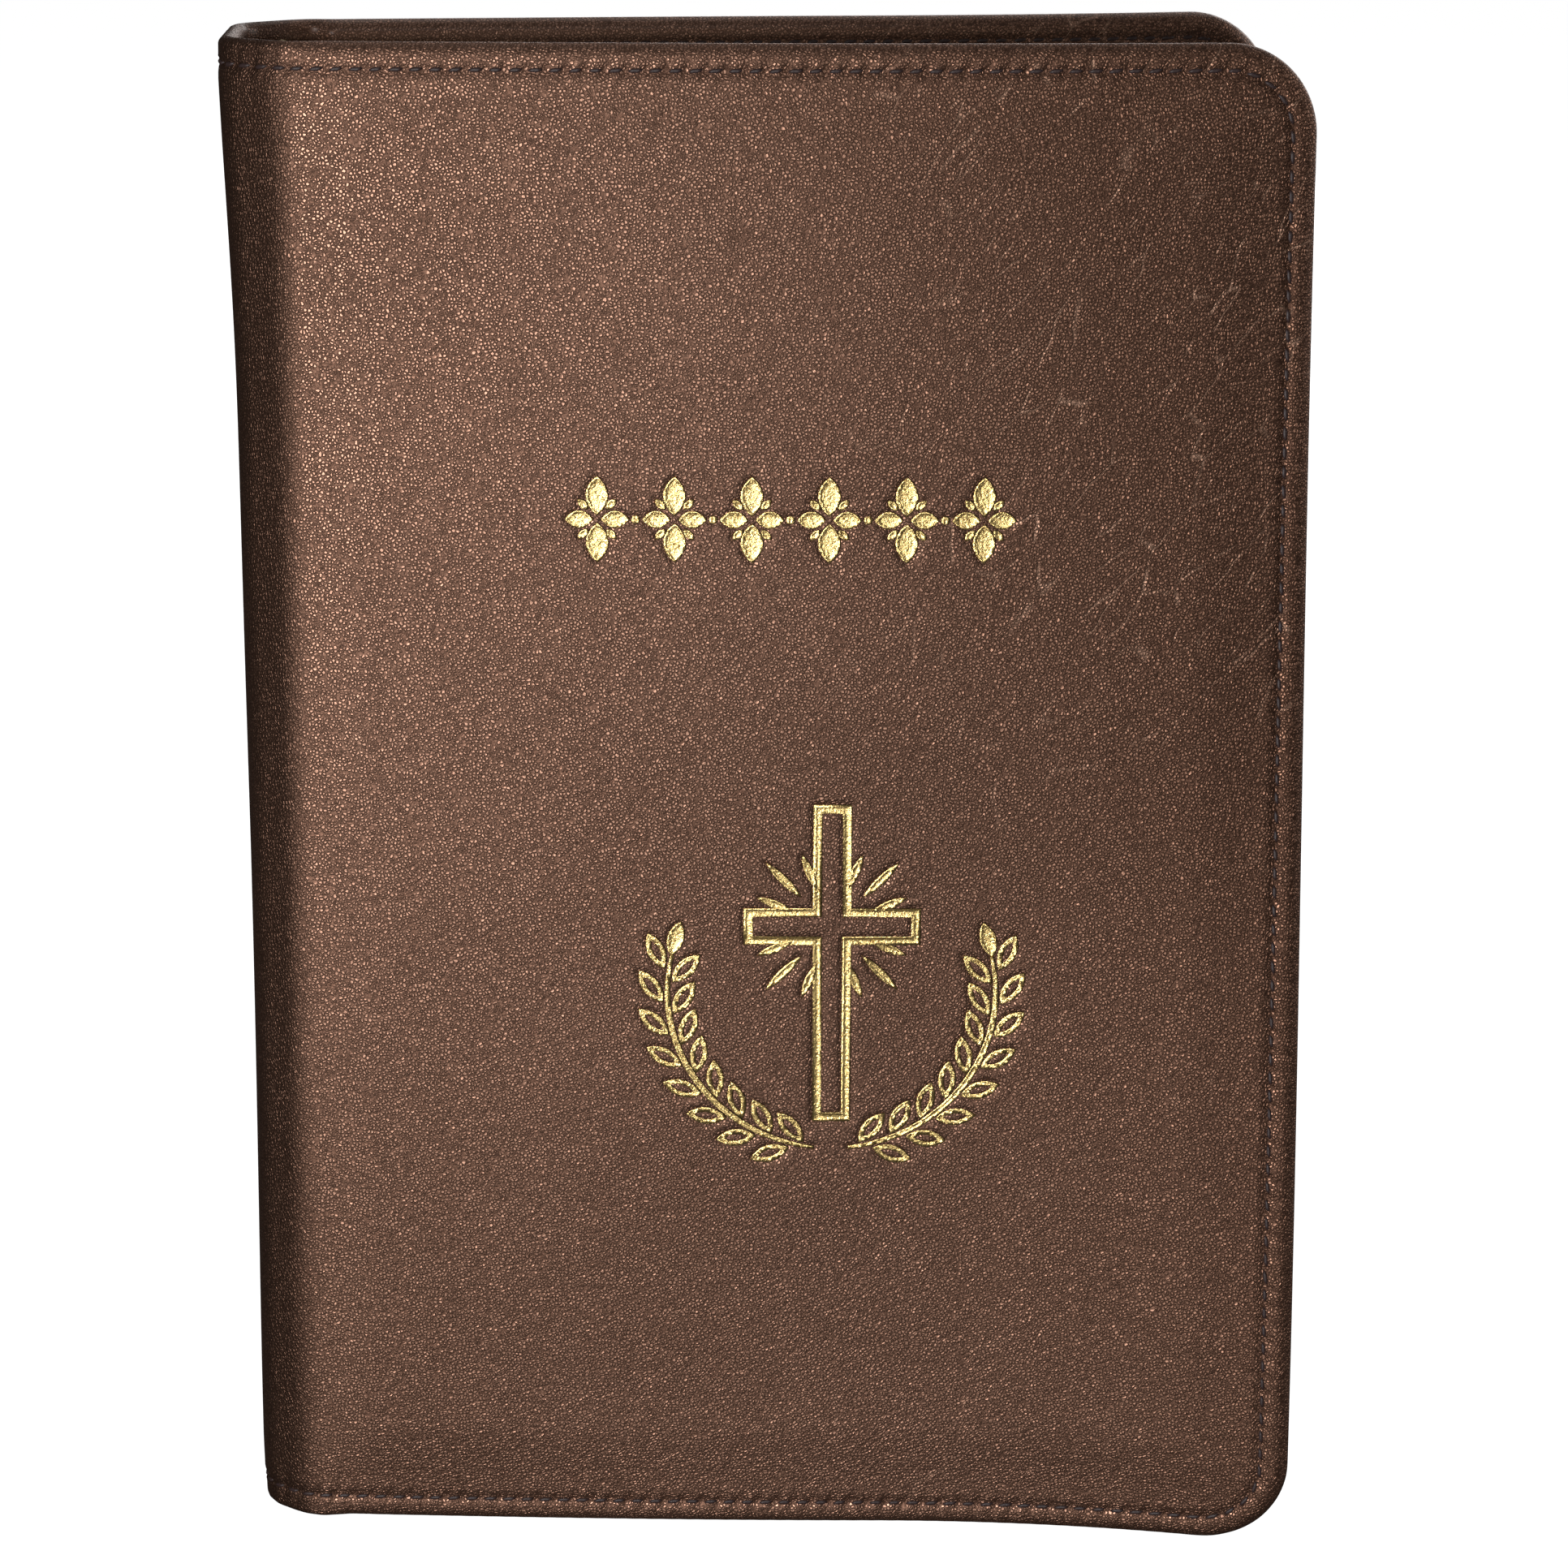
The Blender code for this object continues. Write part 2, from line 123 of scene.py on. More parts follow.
# Ornaments, in x and z on the front cover
TITLE_CENTRE = (63.7 * MM, 139.8 * MM)
EMBLEM_CENTRE = (69.3 * MM, 77.5 * MM)
PRESS_DEPTH = 0.36 * MM
SPRIG_RADIUS = 21.6 * MM
SPRIG_DROP = 1.2 * MM

# Rings of points along a cover's free edges, by their distance from the edge
OUTER_RINGS = np.array([10.4, 9.3, 8.2, 7.2, 6.3, 5.5, 4.9, 4.45, 4.05, 3.65, 3.3, 2.95, 2.55,
                        2.25, 2.0]) * MM
INNER_RINGS = np.array([2.3, 2.7, 3.0, 3.3, 3.6, 4.0, 4.6, 5.4, 7.0]) * MM
ROLL_WIDTH = 2.0 * MM  # the edge is rolled between the last ring and the edge
ROLL_STEPS = 7

# Inside
ENDPAPER_SIDES = (12.16 * MM, 12.34 * MM)
ENDPAPER_LOW = 0.3 * MM
ENDPAPER_BEND = 11 * MM  # columns stand close up to a little past here
SECTION_COUNT = 20
LEAVES_SHOWN = 6  # leaf edges to each section
WORLD_LIGHT = 0.045

S_HINGE = 19.6 * MM  # from the middle of the spine round to the hinge
S_END = S_HINGE + COVER_END


def smooth(low, high, value):
    """0 below low, 1 above high, and a smooth step between them."""
    share = np.clip((value - low) / (high - low), 0.0, 1.0)
    return share * share * (3 - 2 * share)


# ---- the shape of the leather


def bow(side, z):
    tail, head = FRONT_BOW if side < 0 else BACK_BOW
    return tail + (head - tail) * smooth(0.0, HEIGHT, z)


def lean(side, x, z):
    """How far a cover's outer face stands out past its hinge: the splay and the soft bow."""
    soft = 4 * MM
    opened = math.tan(SPLAY) * (np.sqrt(x * x + soft * soft) + x) / 2
    share = np.clip((x - BOW_START) / (COVER_END - BOW_START), 0.0, None)
    crown = CROWN * np.sin(math.pi * np.clip(x / COVER_END, 0.0, 1.0)) * smooth(0.0, 9 * MM, x)
    return opened + crown + bow(side, z) * share * share


def plan(side, s, z):
    """The outer face seen from above: x, distance from the middle leaf, and its outward normal."""
    upper = smooth(0.05 * HEIGHT, 0.8 * HEIGHT, z)
    shoulder = SHOULDER_RADIUS[0] + (SHOULDER_RADIUS[1] - SHOULDER_RADIUS[0]) * upper
    shoulder = shoulder + PRESSED_FLAT * smooth(HEIGHT - 13 * MM, HEIGHT - 3 * MM, z)
    flat = BACK_FLAT[0] + (BACK_FLAT[1] - BACK_FLAT[0]) * upper
    sine, cosine = math.sin(BACK_TURN), math.cos(BACK_TURN)
    slant = (HINGE_Y - flat - BACK_RADIUS * sine - shoulder * (1 - sine)) / cosine
    back_end = flat + BACK_RADIUS * BACK_TURN
    bend_start = back_end + slant
    bend_end = bend_start + shoulder * (math.pi / 2 - BACK_TURN)
    bend_x = BACK_RADIUS * (1 - cosine) + slant * sine + shoulder * cosine - SPINE_DEPTH
    t = np.where(s < S_HINGE, s * (bend_end - bend_x) / S_HINGE, bend_end - bend_x + s - S_HINGE)
    first = np.clip((t - flat) / BACK_RADIUS, 0.0, BACK_TURN)
    run = np.clip(t - back_end, 0.0, slant)
    second = BACK_TURN + np.clip((t - bend_start) / shoulder, 0.0, math.pi / 2 - BACK_TURN)
    turn = np.where(t < bend_start, first, second)
    x = BACK_RADIUS * (1 - np.cos(first)) + run * sine + shoulder * (cosine - np.cos(second))
    x = x + np.maximum(t - bend_end, 0.0) - SPINE_DEPTH
    y = np.minimum(t, flat) + BACK_RADIUS * np.sin(first) + run * cosine
    y = y + shoulder * (np.sin(second) - sine)
    step = 0.5 * MM
    slope = (lean(side, x + step, z) - lean(side, x - step, z)) / (2 * step)
    on_cover = smooth(-4 * MM, 1 * MM, x)
    y = y + lean(side, x, z) * on_cover
    normal_x = -np.cos(turn) - slope * on_cover
    normal_y = np.sin(turn)
    size = np.hypot(normal_x, normal_y)
    pulled = SPINE_WAIST * np.sin(math.pi * np.clip(z / HEIGHT, 0, 1)) ** 1.5
    pulled = pulled - HEAD_FLARE * smooth(0.72 * HEIGHT, HEIGHT, z) ** 1.5
    x = x + pulled * (1 - smooth(-SPINE_DEPTH, 0.0, x))
    return x, y, normal_x / size, normal_y / size


def surface(side, s, z, depth):
    """World places of points on or in a cover's leather."""
    x, y, normal_x, normal_y = plan(side, s, z)
    return np.stack([HINGE_X + x - normal_x * depth, side * (y - normal_y * depth), z], axis=-1)


def thickness(s):
    """How thick the rolled edge is: thin over the spine, full over the padded cover."""
    x = s - S_HINGE
    return SPINE_THICKNESS + (COVER_THICKNESS - SPINE_THICKNESS) * smooth(0.0, 5 * MM, x)


def inner_depth(s, inset):
    """Depth of the inner face: thin leather at the spine and the joint, boards on the cover."""
    x = s - S_HINGE
    skin_only = JOINT_SKIN + (SPINE_SKIN - JOINT_SKIN) * smooth(-1 * MM, -4 * MM, x)
    panel = skin_only + (COVER_THICKNESS - skin_only) * smooth(0.8 * MM, 3.4 * MM, x)
    edge = thickness(s)
    return edge + (panel - edge) * smooth(2.5 * MM, 5.5 * MM, inset)


def edge_place(s, z):
    """Distance from the nearest of head, fore-edge and tail, and how far along that line."""
    high = z > HEIGHT / 2
    from_end = np.where(high, HEIGHT - z, z)
    ds = s - (S_END - CORNER)
    dz = CORNER - from_end
    in_corner = (ds > 0) & (dz > 0)
    inset = np.where(in_corner, CORNER - np.hypot(ds, dz), np.minimum(from_end, S_END - s))
    straight = S_END - CORNER
    quarter = (CORNER - STITCH_INSET) * math.pi / 2
    fore = HEIGHT - 2 * CORNER
    angle = np.arctan2(np.maximum(ds, 0), np.maximum(dz, 1e-9))
    share = angle / (math.pi / 2)
    by_side = (from_end > S_END - s) & ~in_corner
    along = np.where(in_corner, straight + quarter * share, np.minimum(s, straight))
    along = np.where(by_side, straight + quarter + (from_end - CORNER), along)
    whole = 2 * (straight + quarter) + fore
    return inset, np.where(high, along, whole - along)


def waves(s, z):
    """Slow unevenness of a padded cover, a fraction of a millimetre high."""
    a = np.sin(s * 47 + 1.3 * np.sin(z * 31)) * np.sin(z * 39 + 0.7)
    b = np.sin(s * 83 - z * 57 + 0.4) * 0.5
    c = np.sin(s * 21 + z * 17 + 2.0) * 0.8
    return (a + b + c) * 0.09 * MM


def relief(side, s, z, ornaments):
    """Height of the outer face over its smooth shape."""
    inset, along = edge_place(s, z)
    near = np.exp(-((inset - STITCH_INSET) / VALLEY_WIDTH) ** 2)
    around = np.exp(-((inset - STITCH_INSET) / (1.9 * VALLEY_WIDTH)) ** 2)
    phase = 2 * math.pi * (along + 0.45 * (inset - STITCH_INSET)) / STITCH_PITCH
    outside = smooth(STITCH_INSET + 0.3 * MM, STITCH_INSET - 1.2 * MM, inset)
    height = -VALLEY_DEPTH * np.maximum(near, 0.5 * outside)
    height = height - 0.09 * MM * np.cos(phase) * around
    height = height - 0.15 * MM * near * np.maximum(np.cos(phase), 0) ** 6
    on_cover = smooth(-1 * MM, 9 * MM, s - S_HINGE)
    height = height + PUFF * smooth(STITCH_INSET, 15 * MM, inset) * on_cover
    height = height + waves(s, z) * smooth(2 * MM, 10 * MM, inset)
    if side < 0:
        height = height - PRESS_DEPTH * pressed(s - S_HINGE, z, ornaments)
    return height


# ---- outlines of the ornaments


def leaf(centre, angle, length, width, points=9):
    """An almond, as a closed loop of points."""
    share = np.linspace(0, 1, points)
    along = length * (share - 0.5)
    across = width / 2 * np.sin(math.pi * share) ** 0.8
    upper = np.stack([along, across], axis=1)
    lower = np.stack([along, -across], axis=1)[::-1][1:-1]
    return turned(np.concatenate([upper, lower]), centre, angle)


def turned(loop, centre, angle):
    c, s = math.cos(math.radians(angle)), math.sin(math.radians(angle))
    x = centre[0] + loop[:, 0] * c - loop[:, 1] * s
    z = centre[1] + loop[:, 0] * s + loop[:, 1] * c
    return np.stack([x, z], axis=1)


def polar(centre, angle, reach, reach_z=None):
    """A point round a centre. The reach may differ between x and z."""
    radians = math.radians(angle)
    return (centre[0] + reach * math.cos(radians),
            centre[1] + (reach if reach_z is None else reach_z) * math.sin(radians))


def disc(centre, radius, points=16):
    angle = np.linspace(0, 2 * math.pi, points, endpoint=False)
    return np.stack([centre[0] + radius * np.cos(angle),
                     centre[1] + radius * np.sin(angle)], axis=1)


def line(points, width):
    """A line of even width through points, with tapered ends."""
    points = np.asarray(points, float)
    along = np.gradient(points, axis=0)
    along /= np.linalg.norm(along, axis=1)[:, None]
    across = np.stack([-along[:, 1], along[:, 0]], axis=1)
    taper = np.sin(math.pi * np.linspace(0.06, 0.94, len(points))) ** 0.35
    offset = across * (width / 2 * taper)[:, None]
    return np.concatenate([points + offset, (points - offset)[::-1]])


def title_shapes():
    """Six small flowers in a row with a bead between each pair."""
    shapes = []
    pitch, flowers = 9.9 * MM, 6
    for number in range(flowers):
        middle = (TITLE_CENTRE[0] + (number - (flowers - 1) / 2) * pitch, TITLE_CENTRE[1])
        for angle in (0, 90, 180, 270):
            length, width = (5.2, 2.9) if angle in (90, 270) else (3.7, 2.3)
            place = polar(middle, angle, (0.45 + length / 2) * MM)
            shapes.append([leaf(place, angle, length * MM, width * MM)])
        for angle in (45, 135, 225, 315):
            place = polar(middle, angle, 2.55 * MM, 2.75 * MM)
            shapes.append([leaf(place, angle, 1.9 * MM, 1.0 * MM)])
        if number < flowers - 1:
            shapes.append([disc((middle[0] + pitch / 2, middle[1]), 0.55 * MM)])
    return shapes


def cross_loop(centre, half_width, up, side, down):
    h = half_width
    points = [(-h, -down), (h, -down), (h, -h), (side, -h), (side, h), (h, h), (h, up), (-h, up),
              (-h, h), (-side, h), (-side, -h), (-h, -h)]
    return np.array([(centre[0] + x, centre[1] + z) for x, z in points])


def sprig(mirror):
    """One curved sprig: a stem with outlined leaves on both sides. Mirror is 1 or -1."""
    centre = (EMBLEM_CENTRE[0], EMBLEM_CENTRE[1] - SPRIG_DROP)

    def sprig_leaf(angle, radius, heading, length, width):
        place = polar(centre, angle, radius * mirror, radius)
        return leaf(place, heading if mirror > 0 else 180 - heading, length * MM, width * MM)

    angles = np.radians(np.linspace(-84, 14, 22))
    stem = np.stack([np.cos(angles) * SPRIG_RADIUS * mirror + centre[0],
                     np.sin(angles) * SPRIG_RADIUS + centre[1]], axis=1)
    shapes = [[line(stem, 0.85 * MM)]]
    for number in range(8):
        angle = -74 + number * 12
        for outward in (1, -1):
            radius = SPRIG_RADIUS + outward * 2.15 * MM
            turn = angle + (4 if outward > 0 else 0)
            heading = angle + 90 - outward * 34
            shapes.append([sprig_leaf(turn, radius, heading, length, width)
                           for length, width in ((5.4, 2.35), (3.3, 0.95))])
    shapes.append([sprig_leaf(20, SPRIG_RADIUS + 0.2 * MM, 106, 5.0, 2.2)])
    return shapes


def emblem_shapes():
    """A plain outlined Latin cross with short rays, between two sprigs."""
    middle = (EMBLEM_CENTRE[0], EMBLEM_CENTRE[1] + 8.0 * MM)
    shapes = [[cross_loop(middle, 2.5 * MM, 16.6 * MM, 11.6 * MM, 27.0 * MM),
               cross_loop(middle, 1.35 * MM, 15.4 * MM, 10.4 * MM, 25.8 * MM)]]
    for quarter in range(4):
        for step, length in ((22, 5.0), (45, 6.8), (68, 5.0)):
            angle = quarter * 90 + step
            place = polar(middle, angle, (5.6 + length / 2) * MM)
            shapes.append([leaf(place, angle, length * MM, 1.15 * MM)])
    return shapes + sprig(1) + sprig(-1)


def signed_distance(points, shape):
    """Distance from points to a shape's outline, negative inside. Inner loops are holes."""
    best = np.full(len(points), 1.0)
    inside = np.zeros(len(points), bool)
    for loop in shape:
        for a, b in zip(loop, np.roll(loop, -1, axis=0)):
            run = b - a
            share = np.clip(((points - a) @ run) / max(run @ run, 1e-18), 0, 1)
            gap = points - a - share[:, None] * run
            best = np.minimum(best, np.hypot(gap[:, 0], gap[:, 1]))
            crosses = (a[1] > points[:, 1]) != (b[1] > points[:, 1])
            at = a[0] + (points[:, 1] - a[1]) * run[0] / (run[1] if run[1] else 1e-18)
            inside ^= crosses & (points[:, 0] < at)
    return np.where(inside, -best, best)


def pressed(x, z, shapes):
    """How far the leather is pressed in under the foil, from 0 to 1."""
    points = np.stack([x.ravel(), z.ravel()], axis=1)
    result = np.zeros(len(points))
    margin = 1.0 * MM
    for shape in shapes:
        low = shape[0].min(axis=0) - margin
        high = shape[0].max(axis=0) + margin
        near = np.all((points > low) & (points < high), axis=1)
        if near.any():
            distance = signed_distance(points[near], shape)
            result[near] = np.maximum(result[near], 1 - smooth(-0.1 * MM, 0.45 * MM, distance))
    return result.reshape(x.shape)


# ---- mesh helpers


def make_object(name, places, faces, materials, flat_faces=()):
    """A smooth mesh object in the world frame. Its rest places are kept for the materials."""
    places = np.asarray(places, float)
    mesh = bpy.data.meshes.new(name)
    mesh.from_pydata(places.tolist(), [], faces)
    for material in materials:
        mesh.materials.append(material)
    rest = mesh.attributes.new("rest", "FLOAT_VECTOR", "POINT")
    rest.data.foreach_set("vector", places.astype(np.float32).ravel())
    mesh.shade_smooth()
    for number in flat_faces:
        mesh.polygons[number].use_smooth = False
    turn_outwards(mesh)
    sharp = {key for number in flat_faces for key in mesh.polygons[number].edge_keys}
    for edge in mesh.edges:
        edge.use_edge_sharp = tuple(sorted(edge.vertices)) in sharp
    made = bpy.data.objects.new(name, mesh)
    bpy.context.scene.collection.objects.link(made)
    return made


def turn_outwards(mesh):
    body = bmesh.new()
    body.from_mesh(mesh)
    bmesh.ops.recalc_face_normals(body, faces=body.faces)
    body.to_mesh(mesh)
    body.free()


class Form:
    """Vertices and faces of one piece while it is being built."""

    def __init__(self):
        self.places = []
        self.faces = []
        self.flat = []
        self.count = 0

    def add(self, places):
        places = np.asarray(places, float)
        numbers = np.arange(self.count, self.count + places[..., 0].size)
        numbers = numbers.reshape(places.shape[:-1])
        self.places.append(places.reshape(-1, 3))
        self.count += numbers.size
        return numbers

    def face(self, *loop):
        self.faces.append(tuple(int(number) for number in loop))

    def strip(self, first, second, closed=False):
        """Quads between two rows of vertex numbers, or triangles where a row stands still."""
        for i in range(len(first) if closed else len(first) - 1):
            j = (i + 1) % len(first)
            corners = dict.fromkeys((first[i], first[j], second[j], second[i]))
            if len(corners) > 2:
                self.face(*corners)

    def strips(self, rows, closed=False):
        for first, second in zip(rows, rows[1:]):
            self.strip(first, second, closed)

    def cap(self, loop):
        self.flat.append(len(self.faces))
        self.face(*loop)

    def finish(self, name, *materials):
        return make_object(name, np.concatenate(self.places), self.faces, materials, self.flat)


def stations(stops, spacings):
    """Places along a line. Each stretch has a count that the coarse side can share."""
    result = [np.array([stops[0]])]
    for low, high, spacing in zip(stops, stops[1:], spacings):
        count = COARSE * max(1, math.ceil((high - low) / spacing / COARSE))
        result.append(np.linspace(low, high, count + 1)[1:])
    return np.concatenate(result)


# ---- padded leather


def ring_line(columns, rows, inset, steps):
    """Places (s, z) at one inset: along the head, the fore-edge and the tail."""
    angles = np.radians(np.linspace(90, 0, steps + 1)[1:-1])
    radius = CORNER - inset
    centre_s = S_END - CORNER
    arc_s, arc_z = centre_s + radius * np.cos(angles), radius * np.sin(angles)
    fore = np.full(len(rows), S_END - inset)
    s = np.concatenate([columns, arc_s, fore, arc_s[::-1], columns[::-1]])
    head = np.full(len(columns), HEIGHT - inset)
    tail = np.full(len(columns), inset)
    z = np.concatenate([head, HEIGHT - CORNER + arc_z, rows[::-1], CORNER - arc_z[::-1], tail])
    return s, z


def ring_of_grid(numbers, steps):
    """The vertex numbers of a grid's three free sides, with each corner repeated for its arc."""
    head, fore, tail = numbers[:, -1], numbers[-1, ::-1], numbers[::-1, 0]
    first = np.full(steps - 1, head[-1])
    second = np.full(steps - 1, fore[-1])
    return np.concatenate([head, first, fore, second, tail])


def shared_points(column_count, row_count):
    """Which points of a fine ring the coarse ring shares."""
    corner = list(range(COARSE, CORNER_STEPS, COARSE))
    picks = list(range(0, column_count, COARSE))
    start = column_count - 1
    picks += [start + step for step in corner]
    start += CORNER_STEPS
    picks += list(range(start, start + row_count, COARSE))
    start += row_count - 1
    picks += [start + step for step in corner]
    start += CORNER_STEPS
    return picks + list(range(start, start + column_count, COARSE))


def coarse_panel(form, side, columns, rows, fine_ring, inset, depth_of):
    """A panel with one column and row for every few of the ring round it."""
    few_columns, few_rows, steps = columns[::COARSE], rows[::COARSE], CORNER_STEPS // COARSE
    s, z = ring_line(few_columns, few_rows, inset, steps)
    ring = form.add(surface(side, s, z, depth_of(s, z)))
    picks = shared_points(len(columns), len(rows))
    for number, (low, high) in enumerate(zip(picks, picks[1:])):
        form.face(ring[number + 1], ring[number], *fine_ring[low:high + 1])
    s, z = np.meshgrid(few_columns, few_rows, indexing="ij")
    grid = form.add(surface(side, s, z, depth_of(s, z)))
    form.strips(grid)
    form.strip(ring_of_grid(grid, steps), ring)
    return grid, ring


def pleats(s, z, inset):
    """Small folds of the turned-in leather, square to the edge and strongest round the corners."""
    _, along = edge_place(s, z)
    corner = np.exp(-((np.hypot(s - S_END, HEIGHT - z) - 8 * MM) / (9 * MM)) ** 2)
    low_corner = np.exp(-((np.hypot(s - S_END, z) - 8 * MM) / (9 * MM)) ** 2)
    wave = np.sin(along * 2 * math.pi / (1.7 * MM) + 2.2 * np.sin(along * 310))
    reach = smooth(1 * MM, 2.4 * MM, inset) * (1 - smooth(4.4 * MM, 5.6 * MM, inset))
    return (0.05 + 0.16 * (corner + low_corner)) * MM * wave * reach


def padded_cover(word, columns, rows, shapes, fine_outside, material, lining_leather):
    """One cover and its half of the spine: leather over padding, rolled round every free edge."""
    side = SIDES[word]
    form = Form()
    rings = []

    def outer_depth(s, z):
        return -relief(side, s, z, shapes)

    def inner_face(s, z):
        inset, _ = edge_place(s, z)
        return inner_depth(s, inset) - 0.15 * MM * smooth(6 * MM, 8 * MM, inset)

    for inset in OUTER_RINGS:
        s, z = ring_line(columns, rows, inset, CORNER_STEPS)
        rings.append(form.add(surface(side, s, z, outer_depth(s, z))))
    edge_s, edge_z = ring_line(columns, rows, 0.0, CORNER_STEPS)
    in_s, in_z = ring_line(columns, rows, ROLL_WIDTH, CORNER_STEPS)
    radius = thickness(edge_s) / 2
    lifted = relief(side, in_s, in_z, shapes)
    for number in range(1, 2 * ROLL_STEPS):
        angle = math.pi / 2 * (1 - number / ROLL_STEPS)
        share = (1 - math.cos(angle)) * radius / ROLL_WIDTH
        down = 1 - math.sin(angle)
        s, z = edge_s + (in_s - edge_s) * share, edge_z + (in_z - edge_z) * share
        rings.append(form.add(surface(side, s, z, radius * down - lifted * max(0.0, 1 - down))))
    for inset in INNER_RINGS:
        s, z = ring_line(columns, rows, inset, CORNER_STEPS)
        near = math.exp(-((inset - STITCH_INSET) / VALLEY_WIDTH) ** 2)
        depth = inner_face(s, z) - 0.4 * MM * near + pleats(s, z, inset) * on_cover_only(s)
        rings.append(form.add(surface(side, s, z, depth)))
    form.strips(rings)
    if fine_outside:
        s, z = np.meshgrid(columns, rows, indexing="ij")
        outside = form.add(surface(side, s, z, outer_depth(s, z)))
        form.strips(outside)
        form.strip(ring_of_grid(outside, CORNER_STEPS), rings[0])
        seam = list(outside[0])
    else:
        outside, ring = coarse_panel(form, side, columns, rows, rings[0], 11 * MM, outer_depth)
        seam = [ring[-1], *outside[0], ring[0]]
    inside, ring = coarse_panel(form, side, columns, rows, rings[-1], 9 * MM, inner_face)
    seam += [line[0] for line in rings] + [ring[0]] + list(inside[0][::-1]) + [ring[-1]]
    seam += [line[-1] for line in rings[::-1]]
    form.cap(seam)
    made = form.finish(f"{word}_padded_leather", material, lining_leather)
    paint_inside(made, side)
    return made


def on_cover_only(s):
    return smooth(1 * MM, 5 * MM, s - S_HINGE)


def paint_inside(made, side):
    """The second material goes on the faces that look towards the pages."""
    mesh = made.data
    normals = np.zeros(len(mesh.polygons) * 3)
    mesh.polygons.foreach_get("normal", normals)
    inward = normals.reshape(-1, 3)[:, 1] * side < -0.1
    mesh.polygons.foreach_set("material_index", inward.astype(np.int32))
    mesh.update()


def plain_sheet(form, side, low_x, inset, top, thick, columns, rows):
    """A thin panel inside a cover, with the cover's rounded corners."""
    s, z = np.meshgrid(columns, rows, indexing="ij")
    ring_s, ring_z = ring_line(columns, rows, inset, 8)
    keep_s = np.maximum(ring_s, low_x)
    loops = []
    for depth in (top + thick, top):
        grid = form.add(surface(side, s, z, np.full(s.shape, depth)))
        ring = form.add(surface(side, keep_s, ring_z, np.full(ring_s.shape, depth)))
        form.strips(grid)
        form.strip(ring_of_grid(grid, 8), ring)
        loops.append(np.concatenate([ring, grid[0]]))
    form.strip(loops[0], loops[1], closed=True)


# ---- stitches


def stitch_line(along):
    """The place (s, z) at a distance along the stitch line, from the spine round to the spine."""
    straight = S_END - CORNER
    radius = CORNER - STITCH_INSET
    quarter = radius * math.pi / 2
    whole = 2 * (straight + quarter) + HEIGHT - 2 * CORNER
    low = along > whole / 2
    t = np.where(low, whole - along, along)
    angle = np.clip((t - straight) / radius, 0, math.pi / 2)
    s = np.minimum(t, straight) + radius * np.sin(angle)
    down = STITCH_INSET + radius * (1 - np.cos(angle)) + np.maximum(t - straight - quarter, 0)
    return s, np.where(low, down, HEIGHT - down), whole


def stitching(word, material):
    """Thread stitches sunk in the seam, outside and inside one cover."""
    side = SIDES[word]
    whole = float(stitch_line(np.array([0.0]))[2])
    count = int(whole / STITCH_PITCH)
    form = Form()
    random = np.random.default_rng(11 if side < 0 else 12)
    for number in range(count):
        middle = (number + 0.5) * STITCH_PITCH
        one_stitch(form, side, middle, random, outside=True)
        s, _, _ = stitch_line(np.array([middle]))
        if s[0] > S_HINGE + 5 * MM:
            one_stitch(form, side, middle + STITCH_PITCH / 2, random, outside=False)
    return form.finish(f"{word}_stitches", material)


def one_stitch(form, side, middle, random, outside):
    """A short twisted thread that dips into the leather at both ends."""
    share = np.linspace(-1, 1, 9)
    slant = (0.16 + random.uniform(-0.06, 0.06)) * MM
    length = STITCH_LENGTH * random.uniform(0.93, 1.05)
    s, z, _ = stitch_line(middle + share * length / 2)
    inset, _ = edge_place(s, z)
    ahead_s, ahead_z, _ = stitch_line(np.array([middle + 0.2 * MM, middle - 0.2 * MM]))
    run = np.array([ahead_s[0] - ahead_s[1], ahead_z[0] - ahead_z[1]]) / (0.4 * MM)
    s, z = s - run[1] * slant * share, z + run[0] * slant * share
    dip = 0.42 * MM * np.abs(share) ** 4
    if outside:
        depth = VALLEY_DEPTH - 0.08 * MM + dip
    else:
        depth = inner_depth(s, inset) - 0.42 * MM - dip
    centre = surface(side, s, z, depth)
    out = surface(side, s, z, depth - 1 * MM) - centre
    out = out / np.linalg.norm(out, axis=1)[:, None]
    along = np.gradient(centre, axis=0)
    along = along / np.linalg.norm(along, axis=1)[:, None]
    across = np.cross(along, out)
    sides = 8
    rings = []
    for i in range(len(share)):
        thin = STITCH_RADIUS * max(0.25, 1 - abs(share[i]) ** 5)
        angle = np.linspace(0, 2 * math.pi, sides, endpoint=False)
        twist = 1 + 0.16 * np.cos(2 * (angle - 2.6 * share[i]))
        ring = centre[i] + (np.cos(angle) * twist * thin)[:, None] * across[i] * 1.25
        ring = ring + (np.sin(angle) * twist * thin)[:, None] * out[i] * 0.9
        rings.append(form.add(ring))
    form.strips(rings, closed=True)
    form.face(*rings[0])
    form.face(*rings[-1][::-1])


# ---- gold foil


def foil(name, shapes, material):
    """Foil pressed into the leather: each shape is a shallow dish with its rim at the surface."""
    form = Form()
    for shape in shapes:
        foil_shape(form, shape)
    return form.finish(name, material)


